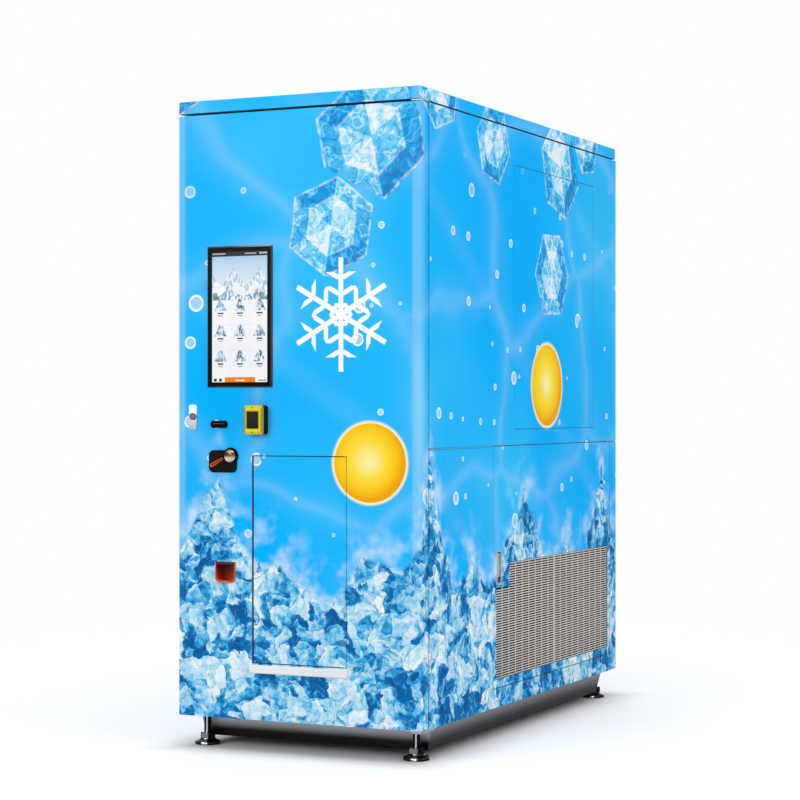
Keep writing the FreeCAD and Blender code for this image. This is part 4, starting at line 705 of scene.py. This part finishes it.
footLook = {  # outlines are radius and height, and a thread's turn is a rise and the radius there
    "radius": 0.045, "nutTop": 0.042, "crest": 0.0138, "root": 0.0124, "core": 0.008, "pitch": 0.0035,
    "turn": ((0.0004, "root"), (0.0014, "crest"), (0.0021, "crest"), (0.0031, "root")),
    "pad": [(0.02, 0.0), (0.0425, 0.0), (0.0445, 0.0012), (0.045, 0.003), (0.045, 0.0075), (0.0438, 0.0098),
            (0.0405, 0.0118), (0.034, 0.0138), (0.0285, 0.0162), (0.0262, 0.0185), (0.0258, 0.02),
            (0.02, 0.02)],
    "nut": [(0.015, 0.02), (0.0262, 0.02), (0.0286, 0.0218), (0.0286, 0.0385), (0.026, 0.0412),
            (0.0205, 0.042), (0.015, 0.042)],
}


def makeFeet():
    look = footLook
    low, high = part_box("foot_pads")
    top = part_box("foot_stems")[1].z
    radius, height = look["radius"], look["nutTop"]
    stem = [(look["core"], height)]
    while height + look["pitch"] < top:
        stem += [(look[edge], height + rise) for rise, edge in look["turn"]]
        height += look["pitch"]
    stem += [(look["root"], top), (look["core"], top)]
    pads, nuts, stems = bmesh.new(), bmesh.new(), bmesh.new()
    for x in (low.x + radius, high.x - radius):
        for y in (low.y + radius, high.y - radius):
            turned(pads, look["pad"], (x, y, 0), segments=48)
            turned(nuts, look["nut"], (x, y, 0), segments=6)
            turned(stems, stem, (x, y, 0), segments=28)
    addPiece("levellingPads", pads, "foot_black", "cabinet", "foot_black", "foot_pads")
    addPiece("levellingNuts", nuts, "foot_steel", "cabinet", "foot_steel", "foot_nuts")
    addPiece("levellingScrews", stems, "foot_steel", "cabinet", "foot_steel", "foot_stems")


screwLook = {  # shares of the radius and of the height
    "outline": ((0.3, 0.0), (1.0, 0.0), (1.0, 0.35), (0.86, 0.8), (0.55, 1.0), (0.42, 1.0), (0.36, 0.55),
                (0.05, 0.5)), "segments": 20,
}


def screwHead(work, centre, radius, axis, out):  # low dome with a sunk middle
    profile = [(radius * wide, out * tall) for wide, tall in screwLook["outline"]]
    turned(work, profile, centre, axis, screwLook["segments"])


readerLook = {"corner": 0.009, "bevel": 0.0085, "drop": 0.0055, "ease": 0.0006, "lift": 0.0004,
              "slope": 0.0045, "windowCorners": (0.0008, 0.0034, 0.004), "sunk": 0.0022, "screw": 0.0022,
              "screwTall": 0.0009}


def makeReaderFront():  # yellow front with an outer bevel and a sloped window edge
    low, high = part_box("card_reader_bezel")
    paneLow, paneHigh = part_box("card_reader_screen")
    back, face = high.y, low.y + readerLook["screwTall"]
    corner, bevel, drop = readerLook["corner"], readerLook["bevel"], readerLook["drop"]
    ease, slope = readerLook["ease"], readerLook["slope"]
    tight, inner, wide = readerLook["windowCorners"]

    def outer(inset, radius, depth):
        return cornered(low.x + inset, high.x - inset, low.z + inset, high.z - inset, radius, depth)

    def window(grow, radius, depth):
        return cornered(paneLow.x - grow, paneHigh.x + grow, paneLow.z - grow, paneHigh.z + grow,
                        radius, depth)

    work = bmesh.new()
    bridge(work, [
        window(0, tight, back), outer(0, corner, back), outer(0, corner, face + drop),
        outer(ease, corner - ease, face + drop * 0.86), outer(bevel, corner * 0.4, face + readerLook["lift"]),
        outer(bevel + ease, corner * 0.36, face), window(slope, wide, face),
        window(slope * 0.8, inner, face + ease), window(0, tight, paneLow.y + readerLook["sunk"]),
        window(0, tight, back)])
    addPiece("readerFront", work, "reader_yellow", "front_door", "reader_yellow", "card_reader_bezel")
    screws = bmesh.new()
    middle = (paneLow.x + paneHigh.x) / 2
    for z in ((low.z + paneLow.z - slope) / 2, (high.z + paneHigh.z + slope) / 2):
        screwHead(screws, (middle, face, z), readerLook["screw"], "Y", -readerLook["screwTall"])
    addPiece("readerScrews", screws, "reader_black", "front_door", "reader_yellow")


makeFeet()
makeReaderFront()
print("feet and card reader front made")


def capsule(startX, startZ, startRadius, endX, endZ, endRadius, depth, steps=8):  # tapered tongue outline
    lean = math.atan2(endZ - startZ, endX - startX)
    loop = []
    for x, z, radius, turn in ((endX, endZ, endRadius, -90), (startX, startZ, startRadius, 90)):
        for i in range(steps + 1):
            angle = lean + math.radians(turn + 180 * i / steps)
            loop.append(Vector((x + radius * math.cos(angle), depth, z + radius * math.sin(angle))))
    return loop


entryLook = {"wide": 0.0068, "narrow": 0.0042, "edge": 0.0011, "slot": 0.0015, "slotFrom": 0.02}


def makeCoinEntry():  # orange tongue that leads coins down to the left
    low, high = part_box("coin_entry")
    wide, narrow = entryLook["wide"], entryLook["narrow"]
    edge, slot = entryLook["edge"], entryLook["slot"]
    start = (low.x + wide, low.z + wide)
    end = (high.x - narrow, high.z - narrow)
    slotStart = [a + (b - a) * entryLook["slotFrom"] for a, b in zip(start, end)]
    work = bmesh.new()
    bridge(work, [
        capsule(*slotStart, slot, *end, slot, high.y),
        capsule(*start, wide, *end, narrow, high.y),
        capsule(*start, wide, *end, narrow, low.y + edge * 1.6),
        capsule(*start, wide - edge * 0.4, *end, narrow - edge * 0.4, low.y + edge * 0.5),
        capsule(*start, wide - edge * 1.4, *end, narrow - edge * 1.4, low.y),
        capsule(*slotStart, slot * 1.7, *end, slot * 1.4, low.y + edge * 0.3),
        capsule(*slotStart, slot, *end, slot, low.y + edge * 1.6),
        capsule(*slotStart, slot, *end, slot, high.y)])
    addPiece("coinTongue", work, "entry_orange", "front_door", "entry_orange", "coin_entry")


buttonLook = {  # the dome's outline is a share of the radius and a depth behind the face
    "dome": ((0.25, 0.0001), (0.45, 0.0005), (0.6, 0.0012), (0.67, 0.0021), (0.7, 0.0032), (0.76, 0.0033),
             (0.8, 0.0022), (0.88, 0.002), (0.96, 0.0026), (1.0, 0.004)),
    "tip": 0.0006, "core": 0.004, "gap": 0.0012, "collar": 0.0052, "collarTall": 0.0026,
    "collarEase": (0.0008, 0.0015),
}


def makeCoinButton():
    low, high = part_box("coin_button")
    radius = (high.x - low.x) / 2
    centre = ((low.x + high.x) / 2, 0, (low.z + high.z) / 2)
    dome = [(radius * wide, low.y + depth) for wide, depth in buttonLook["dome"]]
    profile = [(buttonLook["tip"], low.y)] + dome + [(radius, high.y), (buttonLook["core"], high.y)]
    work = bmesh.new()
    turned(work, profile, centre, "Y", 56)
    addPiece("coinPushCap", work, pushFinish, "coin_button", "button_chrome", "coin_button")
    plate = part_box("coin_plate")[0].y
    inner = radius + buttonLook["gap"]
    outer = inner + buttonLook["collar"]
    tall = buttonLook["collarTall"]
    easeIn, easeOut = buttonLook["collarEase"]
    ring = bmesh.new()
    ringed(ring, [(inner, plate), (inner, plate - tall * 0.8), (inner + easeIn, plate - tall),
                  (outer - easeOut, plate - tall), (outer, plate - tall * 0.5), (outer, plate)], centre, "Y")
    addPiece("coinPushCollar", ring, "reader_black", "front_door", "reader_black")


lockLook = {  # rings are shares of the radius and of the height
    "radius": 0.0112, "proud": 0.0012, "slot": (0.0012, 0.0048), "slotEase": 0.0003, "floor": 0.00002,
    "rings": ((1.0, 0.0), (1.0, 0.55), (0.93, 1.0), (0.8, 1.0), (0.76, 0.7), (0.7, 0.7), (0.66, 0.95)),
}


def makeLockFace():  # turned face with a key slot, on the barrel
    joint = next(j for j in frame["record"]["behaviour"]["joints"] if j["name"] == "lock_turn")
    x, z = joint["pos_m"][0], joint["pos_m"][2]
    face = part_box("lock_cylinder")[0].y
    radius, proud, ease = lockLook["radius"], lockLook["proud"], lockLook["slotEase"]
    halfWide, halfTall = lockLook["slot"]
    circle = cornered(-1, 1, -1, 1, 0.999, 0)

    def ring(wide, y):
        return [Vector((x + wide * point.x, y, z + wide * point.z)) for point in circle]

    def slot(grow, y):
        return cornered(x - halfWide - grow, x + halfWide + grow, z - halfTall - grow, z + halfTall + grow,
                        halfWide * 0.8, y)

    rings = [ring(radius * wide, face - proud * tall) for wide, tall in lockLook["rings"]]
    slots = [slot(ease, face - proud * 0.95), slot(0, face - proud * 0.7), slot(0, face - lockLook["floor"])]
    work = bmesh.new()
    bridge(work, rings + slots, True, True)
    addPiece("lockFace", work, lockFinish, "lock", "button_chrome")


noteLook = {"half": 0.0195, "rise": 0.0031, "tall": 0.0014, "corner": 0.0005, "ease": 0.0003,
            "easeTop": 0.0002, "depths": (0.0035, 0.0012, 0.0008)}


def makeBillLight():  # slim red lamp bar under the upper lip of the note slot
    low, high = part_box("bill_bezel")
    half, ease, corner = noteLook["half"], noteLook["ease"], noteLook["corner"]
    left, right = (low.x + high.x) / 2 - half, (low.x + high.x) / 2 + half
    top = (low.z + high.z) / 2 + noteLook["rise"]
    foot = top - noteLook["tall"]
    back, edge, face = (low.y + depth for depth in noteLook["depths"])
    work = bmesh.new()
    front = cornered(left + ease, right - ease, foot + ease, top - noteLook["easeTop"], ease, face)
    sides = [cornered(left, right, foot, top, corner, depth) for depth in (back, edge)]
    bridge(work, sides + [front], True, True)
    addPiece("noteLamp", work, noteLampFinish, "front_door", "bezel_black")


cupLook = {"width": 0.0024, "proud": 0.0016, "corner": 0.0185, "top": 0.001, "steps": 8,
           "section": ((0, 0), (0, 0.6), (0.3, 1), (0.7, 1), (1, 0.6), (1, 0))}  # shares of width and height


def makeCupRim():  # pale lip round the sides and bottom of the coin cup, pale as a painted edge highlight
    low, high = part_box("coin_cup")
    corner, steps, top = cupLook["corner"], cupLook["steps"], high.z - cupLook["top"]

    def line(inset, y):
        radius = corner - inset
        points = [Vector((low.x + inset, y, top))]
        for x, start in ((low.x + corner, 180), (high.x - corner, 270)):
            for i in range(steps + 1):
                angle = math.radians(start + 90 * i / steps)
                z = low.z + corner + radius * math.sin(angle)
                points.append(Vector((x + radius * math.cos(angle), y, z)))
        return points + [Vector((high.x - inset, y, top))]

    lines = [line(cupLook["width"] * wide, low.y - cupLook["proud"] * tall)
             for wide, tall in cupLook["section"]]
    work = bmesh.new()
    bridge(work, [list(section) for section in zip(*lines)], True, True)
    addPiece("cupLip", work, cupLipFinish, "front_door", "cup_red")


dustLook = {"back": 0.0084, "fold": 0.0022, "pitch": 0.012, "rise": 0.0012, "margin": 0.004,
            "latchSide": 0.012, "latchUnder": 0.006}  # back and fold lie behind the grille


def makeDustScreen():  # pleated filter just behind the grille slots, near black as painted shade seen through them
    low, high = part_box("grille")
    latchLow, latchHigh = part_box("latch_plate")
    back, fold, margin = low.x - dustLook["back"], low.x - dustLook["fold"], dustLook["margin"]
    edge = latchHigh.y + dustLook["latchSide"]
    work = bmesh.new()
    for near, far, top in ((edge, high.y - margin, high.z - margin),
                           (low.y + margin, edge, latchLow.z - dustLook["latchUnder"])):
        count = max(2, int((far - near) / dustLook["pitch"]))
        outline = [(back, near)]
        for i in range(2 * count + 1):
            x = fold if i % 2 else back + dustLook["rise"]
            outline.append((x, near + (far - near) * i / (2 * count)))
        outline.append((back, far))
        bridge(work, [[Vector((x, y, z)) for x, y in outline] for z in (low.z + margin, top)], True, True)
    addPiece("dustPleats", work, dustFinish, "service_door", "grille_grey")


def sideways(near, far, low, high, radius, x):  # rounded rectangle facing the right-hand side
    return [Vector((x, point.x, point.z)) for point in cornered(near, far, low, high, radius, 0)]


def stacked(work, outline, span, steps, face, out=1):  # raised rectangle, a step is inset, corner and height
    near, far, low, high = span
    bridge(work, [outline(near + inset, far - inset, low + inset, high - inset, corner, face + out * rise)
                  for inset, corner, rise in steps], True, True)


def banded(radius, z, section):  # lathe outline of a band round a wall
    return [(radius + out, z + rise) for out, rise in section]


def inward(low, high, inset):
    return low + inset, high - inset


def spread(low, high, count):
    return [low + (high - low) * i / (count - 1) for i in range(count)]


def screwGrid(work, axis, face, across, heights, radius, out):  # a head at every crossing
    for side in across:
        for z in heights:
            screwHead(work, (face, side, z) if axis == "X" else (side, face, z), radius, axis, out)


guardLook = {
    "rings": (0.045, 0.073, 0.101, 0.129, 0.157, 0.185, 0.2), "wire": 0.002, "wireSides": 8, "spokes": 6,
    "spokeFrom": 0.0272, "spokePast": 0.004, "screwInset": 0.03, "screw": 0.007, "screwTall": 0.003,
    "disc": [(0.002, 0.0), (0.034, 0.0), (0.034, 0.0012), (0.03128, 0.0024), (0.002, 0.003)],
}


def makeFanGuard():  # wire guard on the face of the fan shroud
    look = guardLook
    low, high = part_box("fan_shroud")
    face, y, z = high.x, (low.y + high.y) / 2, (low.z + high.z) / 2
    wire, rings = look["wire"], look["rings"]
    angles = [2 * math.pi * i / look["wireSides"] for i in range(look["wireSides"])]
    work = bmesh.new()
    for radius in rings:
        circle = [(radius + wire * math.cos(angle), wire * math.sin(angle)) for angle in angles]
        ringed(work, circle, (face + wire, y, z), "X", 64)
    start = Vector((face + 3 * wire, y, z))
    for i in range(look["spokes"]):
        angle = 2 * math.pi * (i + 0.5) / look["spokes"]
        way = Vector((0, math.cos(angle), math.sin(angle)))
        rod(work, start + way * look["spokeFrom"], start + way * (rings[-1] + look["spokePast"]), wire)
    turned(work, look["disc"], start, "X")
    addPiece("fanGuard", work, "pin_steel", "cabinet", "shroud_steel")
    screws = bmesh.new()
    inset = look["screwInset"]
    screwGrid(screws, "X", face, inward(low.y, high.y, inset), inward(low.z, high.z, inset),
              look["screw"], look["screwTall"])
    addPiece("shroudScrews", screws, "pin_steel", "cabinet", "shroud_steel")


compressorLook = {
    "radius": 0.095, "seamAbove": 0.075, "seamBelow": 0.04,
    "seam": ((-0.002, 0.0), (0.0015, 0.0), (0.004, 0.0036), (0.004, 0.0084), (0.0015, 0.012),
             (-0.002, 0.012)),
    "cover": (0.034, 0.042), "coverRise": 0.012, "proud": 0.022, "screw": 0.006, "screwTall": 0.003,
    "steps": ((0.0, 0.01, -0.042), (0.0, 0.01, -0.006), (0.002, 0.009, -0.002), (0.006, 0.006, 0.0),
              (0.01, 0.004, -0.001)),
}


def makeCompressorTrim():  # weld seams round the shell and the cover of its terminals
    look = compressorLook
    low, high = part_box("compressor")
    x, y, radius = (low.x + high.x) / 2, (low.y + high.y) / 2, look["radius"]
    work = bmesh.new()
    for z in (low.z + look["seamAbove"], high.z - look["seamBelow"]):
        ringed(work, banded(radius, z, look["seam"]), (x, y, 0))
    addPiece("compressorSeams", work, "compressor_black", "cabinet", "compressor_black")
    halfWide, halfTall = look["cover"]
    z = (low.z + high.z) / 2 + look["coverRise"]
    face = x + radius + look["proud"]
    span = (y - halfWide, y + halfWide, z - halfTall, z + halfTall)
    cover = bmesh.new()
    stacked(cover, sideways, span, look["steps"], face)
    addPiece("terminalCover", cover, "fan_black", "cabinet", "fan_black")
    screw = bmesh.new()
    screwHead(screw, (face + look["steps"][-1][2], y, z), look["screw"], "X", look["screwTall"])
    addPiece("terminalScrew", screw, "pin_steel", "cabinet", "compressor_black")


controlLook = {
    "inset": 0.024, "screw": 0.005, "screwTall": 0.0024, "lamps": ("3fd06a", "3fd06a", "e8a33a"),
    "lampStep": 0.03, "lampAlong": 0.07, "lampDown": 0.075,
    "lamp": [(0.009, 0.0), (0.009, 0.0015), (0.0066, 0.0028), (0.006, 0.003), (0.0054, 0.005),
             (0.0036, 0.0066), (0.0006, 0.0072)],
}


def lampGlow(w, tint):
    flicker = noise(w, 400.0, 2)
    pale = flicker.mix(tint, "f6f2d8")
    return {"Emission Color": (flicker * 0.25).mix(tint, pale),
            "Base Color": (flicker * 0.3).mix(tint, pale), "Roughness": 0.15 + 0.1 * flicker}


def makeControlTrim():  # lid screws and three status lamps on the control box
    look = controlLook
    low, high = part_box("control_box")
    near, far = inward(low.y, high.y, look["inset"])
    work = bmesh.new()
    screwGrid(work, "X", high.x, (near, (low.y + high.y) / 2, far), inward(low.z, high.z, look["inset"]),
              look["screw"], look["screwTall"])
    addPiece("controlScrews", work, "pin_steel", "cabinet", "device_grey")
    for i, tint in enumerate(look["lamps"]):
        name = f"statusLamp{i + 1}"
        centre = (high.x, low.y + look["lampAlong"] + look["lampStep"] * i, high.z - look["lampDown"])
        lamp = bmesh.new()
        turned(lamp, look["lamp"], centre, "X", 32)
        addPiece(name, lamp, makeFinish(name, lampGlow, tint, emissionStrength=0.5), "cabinet", "device_grey")


filterLook = {
    "spacing": 0.15, "radius": 0.052, "rib": 0.0026, "ringFoot": 0.228, "feet": (0.03, 0.05),
    "ring": ((-0.002, 0.0), (0.001, 0.0), (0.002, 0.003), (0.002, 0.018), (0.001, 0.021), (-0.002, 0.021)),
    "foot": ((-0.002, 0.0), (0.0008, 0.001), (0.0016, 0.004), (0.0008, 0.007), (-0.002, 0.008)),
}


def makeFilterRings():  # ribbed locking ring and foot ribs of each filter bowl
    look = filterLook
    low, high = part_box("water_filters")
    x, middle, radius = (low.x + high.x) / 2, (low.y + high.y) / 2, look["radius"]
    work = bmesh.new()
    for y in (middle - look["spacing"] / 2, middle + look["spacing"] / 2):
        ring = banded(radius, low.z + look["ringFoot"], look["ring"])
        ringed(work, ring, (x, y, 0), segments=72, rib=look["rib"])
        for foot in look["feet"]:
            ringed(work, banded(radius, low.z + foot, look["foot"]), (x, y, 0))
    addPiece("filterRings", work, "filter_blue", "cabinet", "filter_blue")


tankLook = {
    "wall": 0.006, "capRib": 0.0016, "marks": 7, "firstMark": 0.05, "step": 0.032, "halves": (0.024, 0.014),
    "skirt": ((0.0336, 0.0), (0.042, 0.0), (0.042, 0.017), (0.03906, 0.02), (0.0336, 0.02)),
    "dish": ((0.0336, 0.0), (0.0336, 0.018), (0.0126, 0.0164), (0.001, 0.016)),
    "markTall": 0.003, "steps": ((0.0, 0.0012, -0.001), (0.0, 0.0012, 0.0006), (0.0006, 0.0006, 0.0012)),
}


def makeTankTrim():  # ribbed filler cap and moulded level marks
    look = tankLook
    low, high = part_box("water_tank")
    x, y = (low.x + high.x) / 2, (low.y + high.y) / 2
    lid = bmesh.new()
    ringed(lid, banded(0, high.z, look["skirt"]), (x, y, 0), segments=72, rib=look["capRib"])
    turned(lid, banded(0, high.z, look["dish"]), (x, y, 0), segments=72)
    addPiece("tankCap", lid, "filter_blue", "cabinet", "tank_plastic")
    marks = bmesh.new()
    for i in range(look["marks"]):
        z = low.z + look["firstMark"] + look["step"] * i
        half = look["halves"][i % 2]
        span = (y - half, y + half, z, z + look["markTall"])
        stacked(marks, sideways, span, look["steps"], high.x - look["wall"])
    addPiece("tankMarks", marks, "filter_blue", "cabinet", "tank_plastic")


louvreLook = {
    "count": 9, "pitch": 0.011, "half": 0.06, "tall": 0.005, "fromTop": 0.06, "fromFoot": 0.15,
    "steps": ((0.0, 0.0022, -0.0008), (0.0, 0.0022, 0.0013), (0.001, 0.0014, 0.0026)),
    "screwInset": 0.012, "screw": 0.0045, "screwTall": 0.0022,
}


def makeDoorUnitTrim():  # louvres and screws on the backs of the door's devices
    look = louvreLook
    low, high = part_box("display_box")
    middle, half = (low.x + high.x) / 2, look["half"]
    work = bmesh.new()
    for i in range(look["count"]):
        for start in (high.z - look["fromTop"], low.z + look["fromFoot"]):
            top = start - look["pitch"] * i
            span = (middle - half, middle + half, top - look["tall"], top)
            stacked(work, cornered, span, look["steps"], high.y)
    addPiece("displayLouvres", work, "device_grey", "front_door", "device_grey")
    screws = bmesh.new()
    inset = look["screwInset"]
    for node in ("display_box", "bill_unit", "coin_unit"):
        low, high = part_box(node)
        screwGrid(screws, "Y", high.y, inward(low.x, high.x, inset), inward(low.z, high.z, inset),
                  look["screw"], look["screwTall"])
    addPiece("deviceScrews", screws, "pin_steel", "front_door", "device_grey")


bayLook = {
    "beads": (0.17, 0.35, 0.53), "bead": 0.016, "beadEnds": 0.06,
    "steps": ((0.0, 0.00784, -0.0005), (0.001, 0.00672, 0.0024), (0.004, 0.00384, 0.004)),
    "rivets": 8, "rivetEnds": 0.04, "rivetSides": 0.02, "rivet": 0.004, "rivetTall": 0.0018,
}


def makeBayBeads():  # pressed beads and rivets on the walls of the delivery bay
    look = bayLook
    low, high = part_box("delivery_bay")
    heights = spread(*inward(low.z, high.z, look["rivetEnds"]), look["rivets"])
    work, rivets = bmesh.new(), bmesh.new()
    for wall, out in ((low.x, -1), (high.x, 1)):
        for rise in look["beads"]:
            z = low.z + rise
            span = (*inward(low.y, high.y, look["beadEnds"]), z, z + look["bead"])
            stacked(work, sideways, span, look["steps"], wall, out)
        screwGrid(rivets, "X", wall, inward(low.y, high.y, look["rivetSides"]), heights,
                  look["rivet"], out * look["rivetTall"])
    addPiece("bayBeads", work, "outlet_steel", "cabinet", "outlet_steel")
    addPiece("bayRivets", rivets, "pin_steel", "cabinet", "outlet_steel")


rearLook = {"inset": 0.024, "rows": 7, "fromFoot": 0.055, "fromTop": 0.058, "screw": 0.006, "proud": 0.0026}


def makeRearScrews():  # screws down both edges of the rear panel
    low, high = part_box("rear_skin")
    heights = spread(low.z + rearLook["fromFoot"], high.z - rearLook["fromTop"], rearLook["rows"])
    work = bmesh.new()
    screwGrid(work, "Y", high.y, inward(low.x, high.x, rearLook["inset"]), heights,
              rearLook["screw"], rearLook["proud"])
    addPiece("rearScrews", work, "pin_steel", "cabinet", "pin_steel")


seamLook = {"radius": 0.0029, "back": 0.0035, "end": 0.004, "sides": 16}


def makeSeamBeads():  # sealant between the upper and lower side skins, clear of the service door's swing
    low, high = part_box("right_lower_skin")
    doorLow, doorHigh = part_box("service_door_skin")
    z = (high.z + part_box("right_upper_skin")[0].z) / 2
    x = high.x - seamLook["back"]
    work = bmesh.new()
    for span in ((low.y, doorLow.y), (doorHigh.y, high.y)):
        near, far = inward(*span, seamLook["end"])
        rod(work, (x, near, z), (x, far, z), seamLook["radius"], seamLook["sides"])
    addPiece("seamBeads", work, sealantFinish, "cabinet", "seal_rubber")


barLook = {"wire": 0.002, "gap": 0.0021, "rails": (0.08, 0.28), "posts": (0.15, 0.5, 0.85), "postFoot": 0.006,
           "postTop": 0.31, "seat": 0.0005}


def makeFilterBars():  # wire frame that keeps the dust filter in the service door
    look = barLook
    low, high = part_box("grille")
    near, wire = low.x - dustLook["back"] - look["gap"], look["wire"]
    work = bmesh.new()
    for rail in look["rails"]:
        z = low.z + rail
        rod(work, (near, low.y, z), (near, high.y, z), wire)
        for y in inward(low.y, high.y, wire):
            rod(work, (near, y, z), (low.x + look["seat"], y, z), wire)  # legs down to the grille's border
    behind = near - 2 * wire
    for along in look["posts"]:
        y = low.y + (high.y - low.y) * along
        rod(work, (behind, y, low.z + look["postFoot"]), (behind, y, low.z + look["postTop"]), wire)
    addPiece("filterBars", work, "pin_steel", "service_door", "grille_grey")


def glowRed(w):
    pulse = noise(w, 300.0, 2)
    return {"Emission Color": pulse.mix("c42a20", "e0453a"),
            "Base Color": pulse.mix("5a0f0c", "7a1a15"), "Roughness": 0.25 + 0.1 * pulse}


lockFinish = makeFinish("lockSteel", brushedMetal, "7d8084", "3c3e41", (6, 1, 6), 0.22, metallic=0.95)
noteLampFinish = makeFinish("noteLampRed", glowRed, emissionStrength=0.55)
# the cup lip's pale colour is a painted edge highlight
cupLipFinish = makeFinish("cupLipPaintedHighlight", mouldedPlastic, "e2a48c", "c4553a", 380.0, 0.26, coatWeight=0.2)
sealantFinish = makeFinish("sealantBlue", softRubber, "58b6ea", "3fa2dc", specularIORLevel=0.1)
# the dust filter's near-black colour is painted shade seen through the slots
dustFinish = makeFinish("dustFelt", softRubber, "050506", "0b0b0c", specularIORLevel=0.0)
for make in (makeCoinEntry, makeCoinButton, makeLockFace, makeBillLight, makeCupRim, makeDustScreen):
    make()
print("door fittings and dust filter made")
for make in (makeFanGuard, makeCompressorTrim, makeControlTrim, makeFilterRings, makeTankTrim,
             makeDoorUnitTrim, makeFilterBars, makeBayBeads, makeRearScrews, makeSeamBeads):
    make()
print("trim of the service bay and door devices made")

stageLook = {
    "floorReach": 4.2, "floorFade": (1.9, 3.9), "floorGlow": 0.34, "floorTone": 0.74, "floorDrop": 0.0005,
    "shadeX": 0.40, "shadeY": 0.88, "shadeFade": (-0.04, 0.2), "worldLight": 0.5,
    "lamps": [  # name, place, target, width, height, power
        ("keyLamp", (-2.6, -7.2, 3.6), (0, -0.6, 1.0), 4.2, 4.2, 180.0),
        ("stripLamp", (1.9, -7.6, 1.3), (0, -0.9, 0.6), 0.5, 2.4, 34.0),
        ("sideLamp", (7.4, -1.6, 3.2), (0, 0, 1.0), 4.2, 4.2, 185.0),
        ("roofLamp", (0.4, -0.6, 6.4), (0, 0, 0), 4.6, 4.6, 150.0),
        ("rearLamp", (-3.6, 6.6, 3.6), (0, 0, 1.0), 4.0, 4.0, 130.0)],
}


def emptyTree(owner):
    owner.use_nodes = True
    owner.node_tree.nodes.clear()
    return Wire(owner.node_tree)


def showAs(end, kind):  # the last shader goes to an output
    out = end.tree.nodes.new("ShaderNode" + kind)
    end.tree.links.new(end.socket, out.inputs[0])


def makeFloor():  # white paper that glows round the machine but not under it, leaving a painted shadow there
    look = stageLook
    mesh = bpy.data.meshes.new("studioFloor")
    work = bmesh.new()
    bmesh.ops.create_circle(work, cap_ends=True, segments=96, radius=look["floorReach"])
    work.to_mesh(mesh)
    work.free()
    floor = linked("studioFloor", mesh)
    floor.location.z = -look["floorDrop"]
    paper = bpy.data.materials.new("studioPaper")
    w = emptyTree(paper)
    at = places(w)
    tone = look["floorTone"]
    clearX = abs(at.x) - look["shadeX"]
    clearY = abs(at.y) - look["shadeY"]
    # painted shadow: the floor's glow fades out over the machine's footprint
    glowOutsidePaintedShadow = clearX.most(clearY).soft(*look["shadeFade"])
    matte = w.put("BsdfDiffuse", {"Color": (tone, tone, tone, 1)})
    glow = w.put("Emission", {"Strength": look["floorGlow"]})
    path = w.put("LightPath", None, "Is Camera Ray")
    dark = w.put("BsdfTransparent", {"Color": (0, 0, 0, 1)})
    lit = w.put("MixShader", {0: path * glowOutsidePaintedShadow, 1: dark, 2: glow})
    both = w.put("AddShader", {0: matte, 1: lit})
    clear = w.put("BsdfTransparent")
    fade = farness(at.x, at.y).soft(*look["floorFade"])
    showAs(w.put("MixShader", {0: fade, 1: both, 2: clear}), "OutputMaterial")
    mesh.materials.append(paper)


def makeLight():
    world = bpy.data.worlds.new("studioWorld")
    bpy.context.scene.world = world
    w = emptyTree(world)
    seen = w.put("LightPath", None, "Is Camera Ray")
    for kind in ("Is Glossy Ray", "Is Transmission Ray"):
        seen = seen.most(w.put("LightPath", None, kind))
    soft = w.put("Background", {"Color": (1, 1, 1, 1), "Strength": stageLook["worldLight"]})
    white = w.put("Background", {"Color": (1, 1, 1, 1), "Strength": 1.0})
    showAs(w.put("MixShader", {0: seen, 1: soft, 2: white}), "OutputWorld")
    for name, place, target, wide, tall, power in stageLook["lamps"]:
        lamp = bpy.data.lights.new(name, "AREA")
        lamp.shape = "RECTANGLE"
        lamp.size = wide
        lamp.size_y = tall
        lamp.energy = power
        holder = linked(name, lamp)
        holder.location = place
        holder.rotation_euler = (Vector(target) - Vector(place)).to_track_quat("-Z", "Y").to_euler()


viewLook = {"place": (3.268, -7.030, 1.135), "turn": 25.32, "lens": 95.2, "sensor": 36.0, "shift": 0.0109}


def makeCamera():
    camera = bpy.data.cameras.new("photoCamera")
    camera.lens = viewLook["lens"]
    camera.sensor_width = viewLook["sensor"]
    camera.shift_y = viewLook["shift"]
    holder = linked("photoCamera", camera)
    holder.location = viewLook["place"]
    holder.rotation_euler = (math.pi / 2, 0, math.radians(viewLook["turn"]))
    bpy.context.scene.camera = holder


makeFloor()
makeLight()
makeCamera()
bpy.context.scene.view_settings.view_transform = "Standard"
print("floor, lamps and camera set")
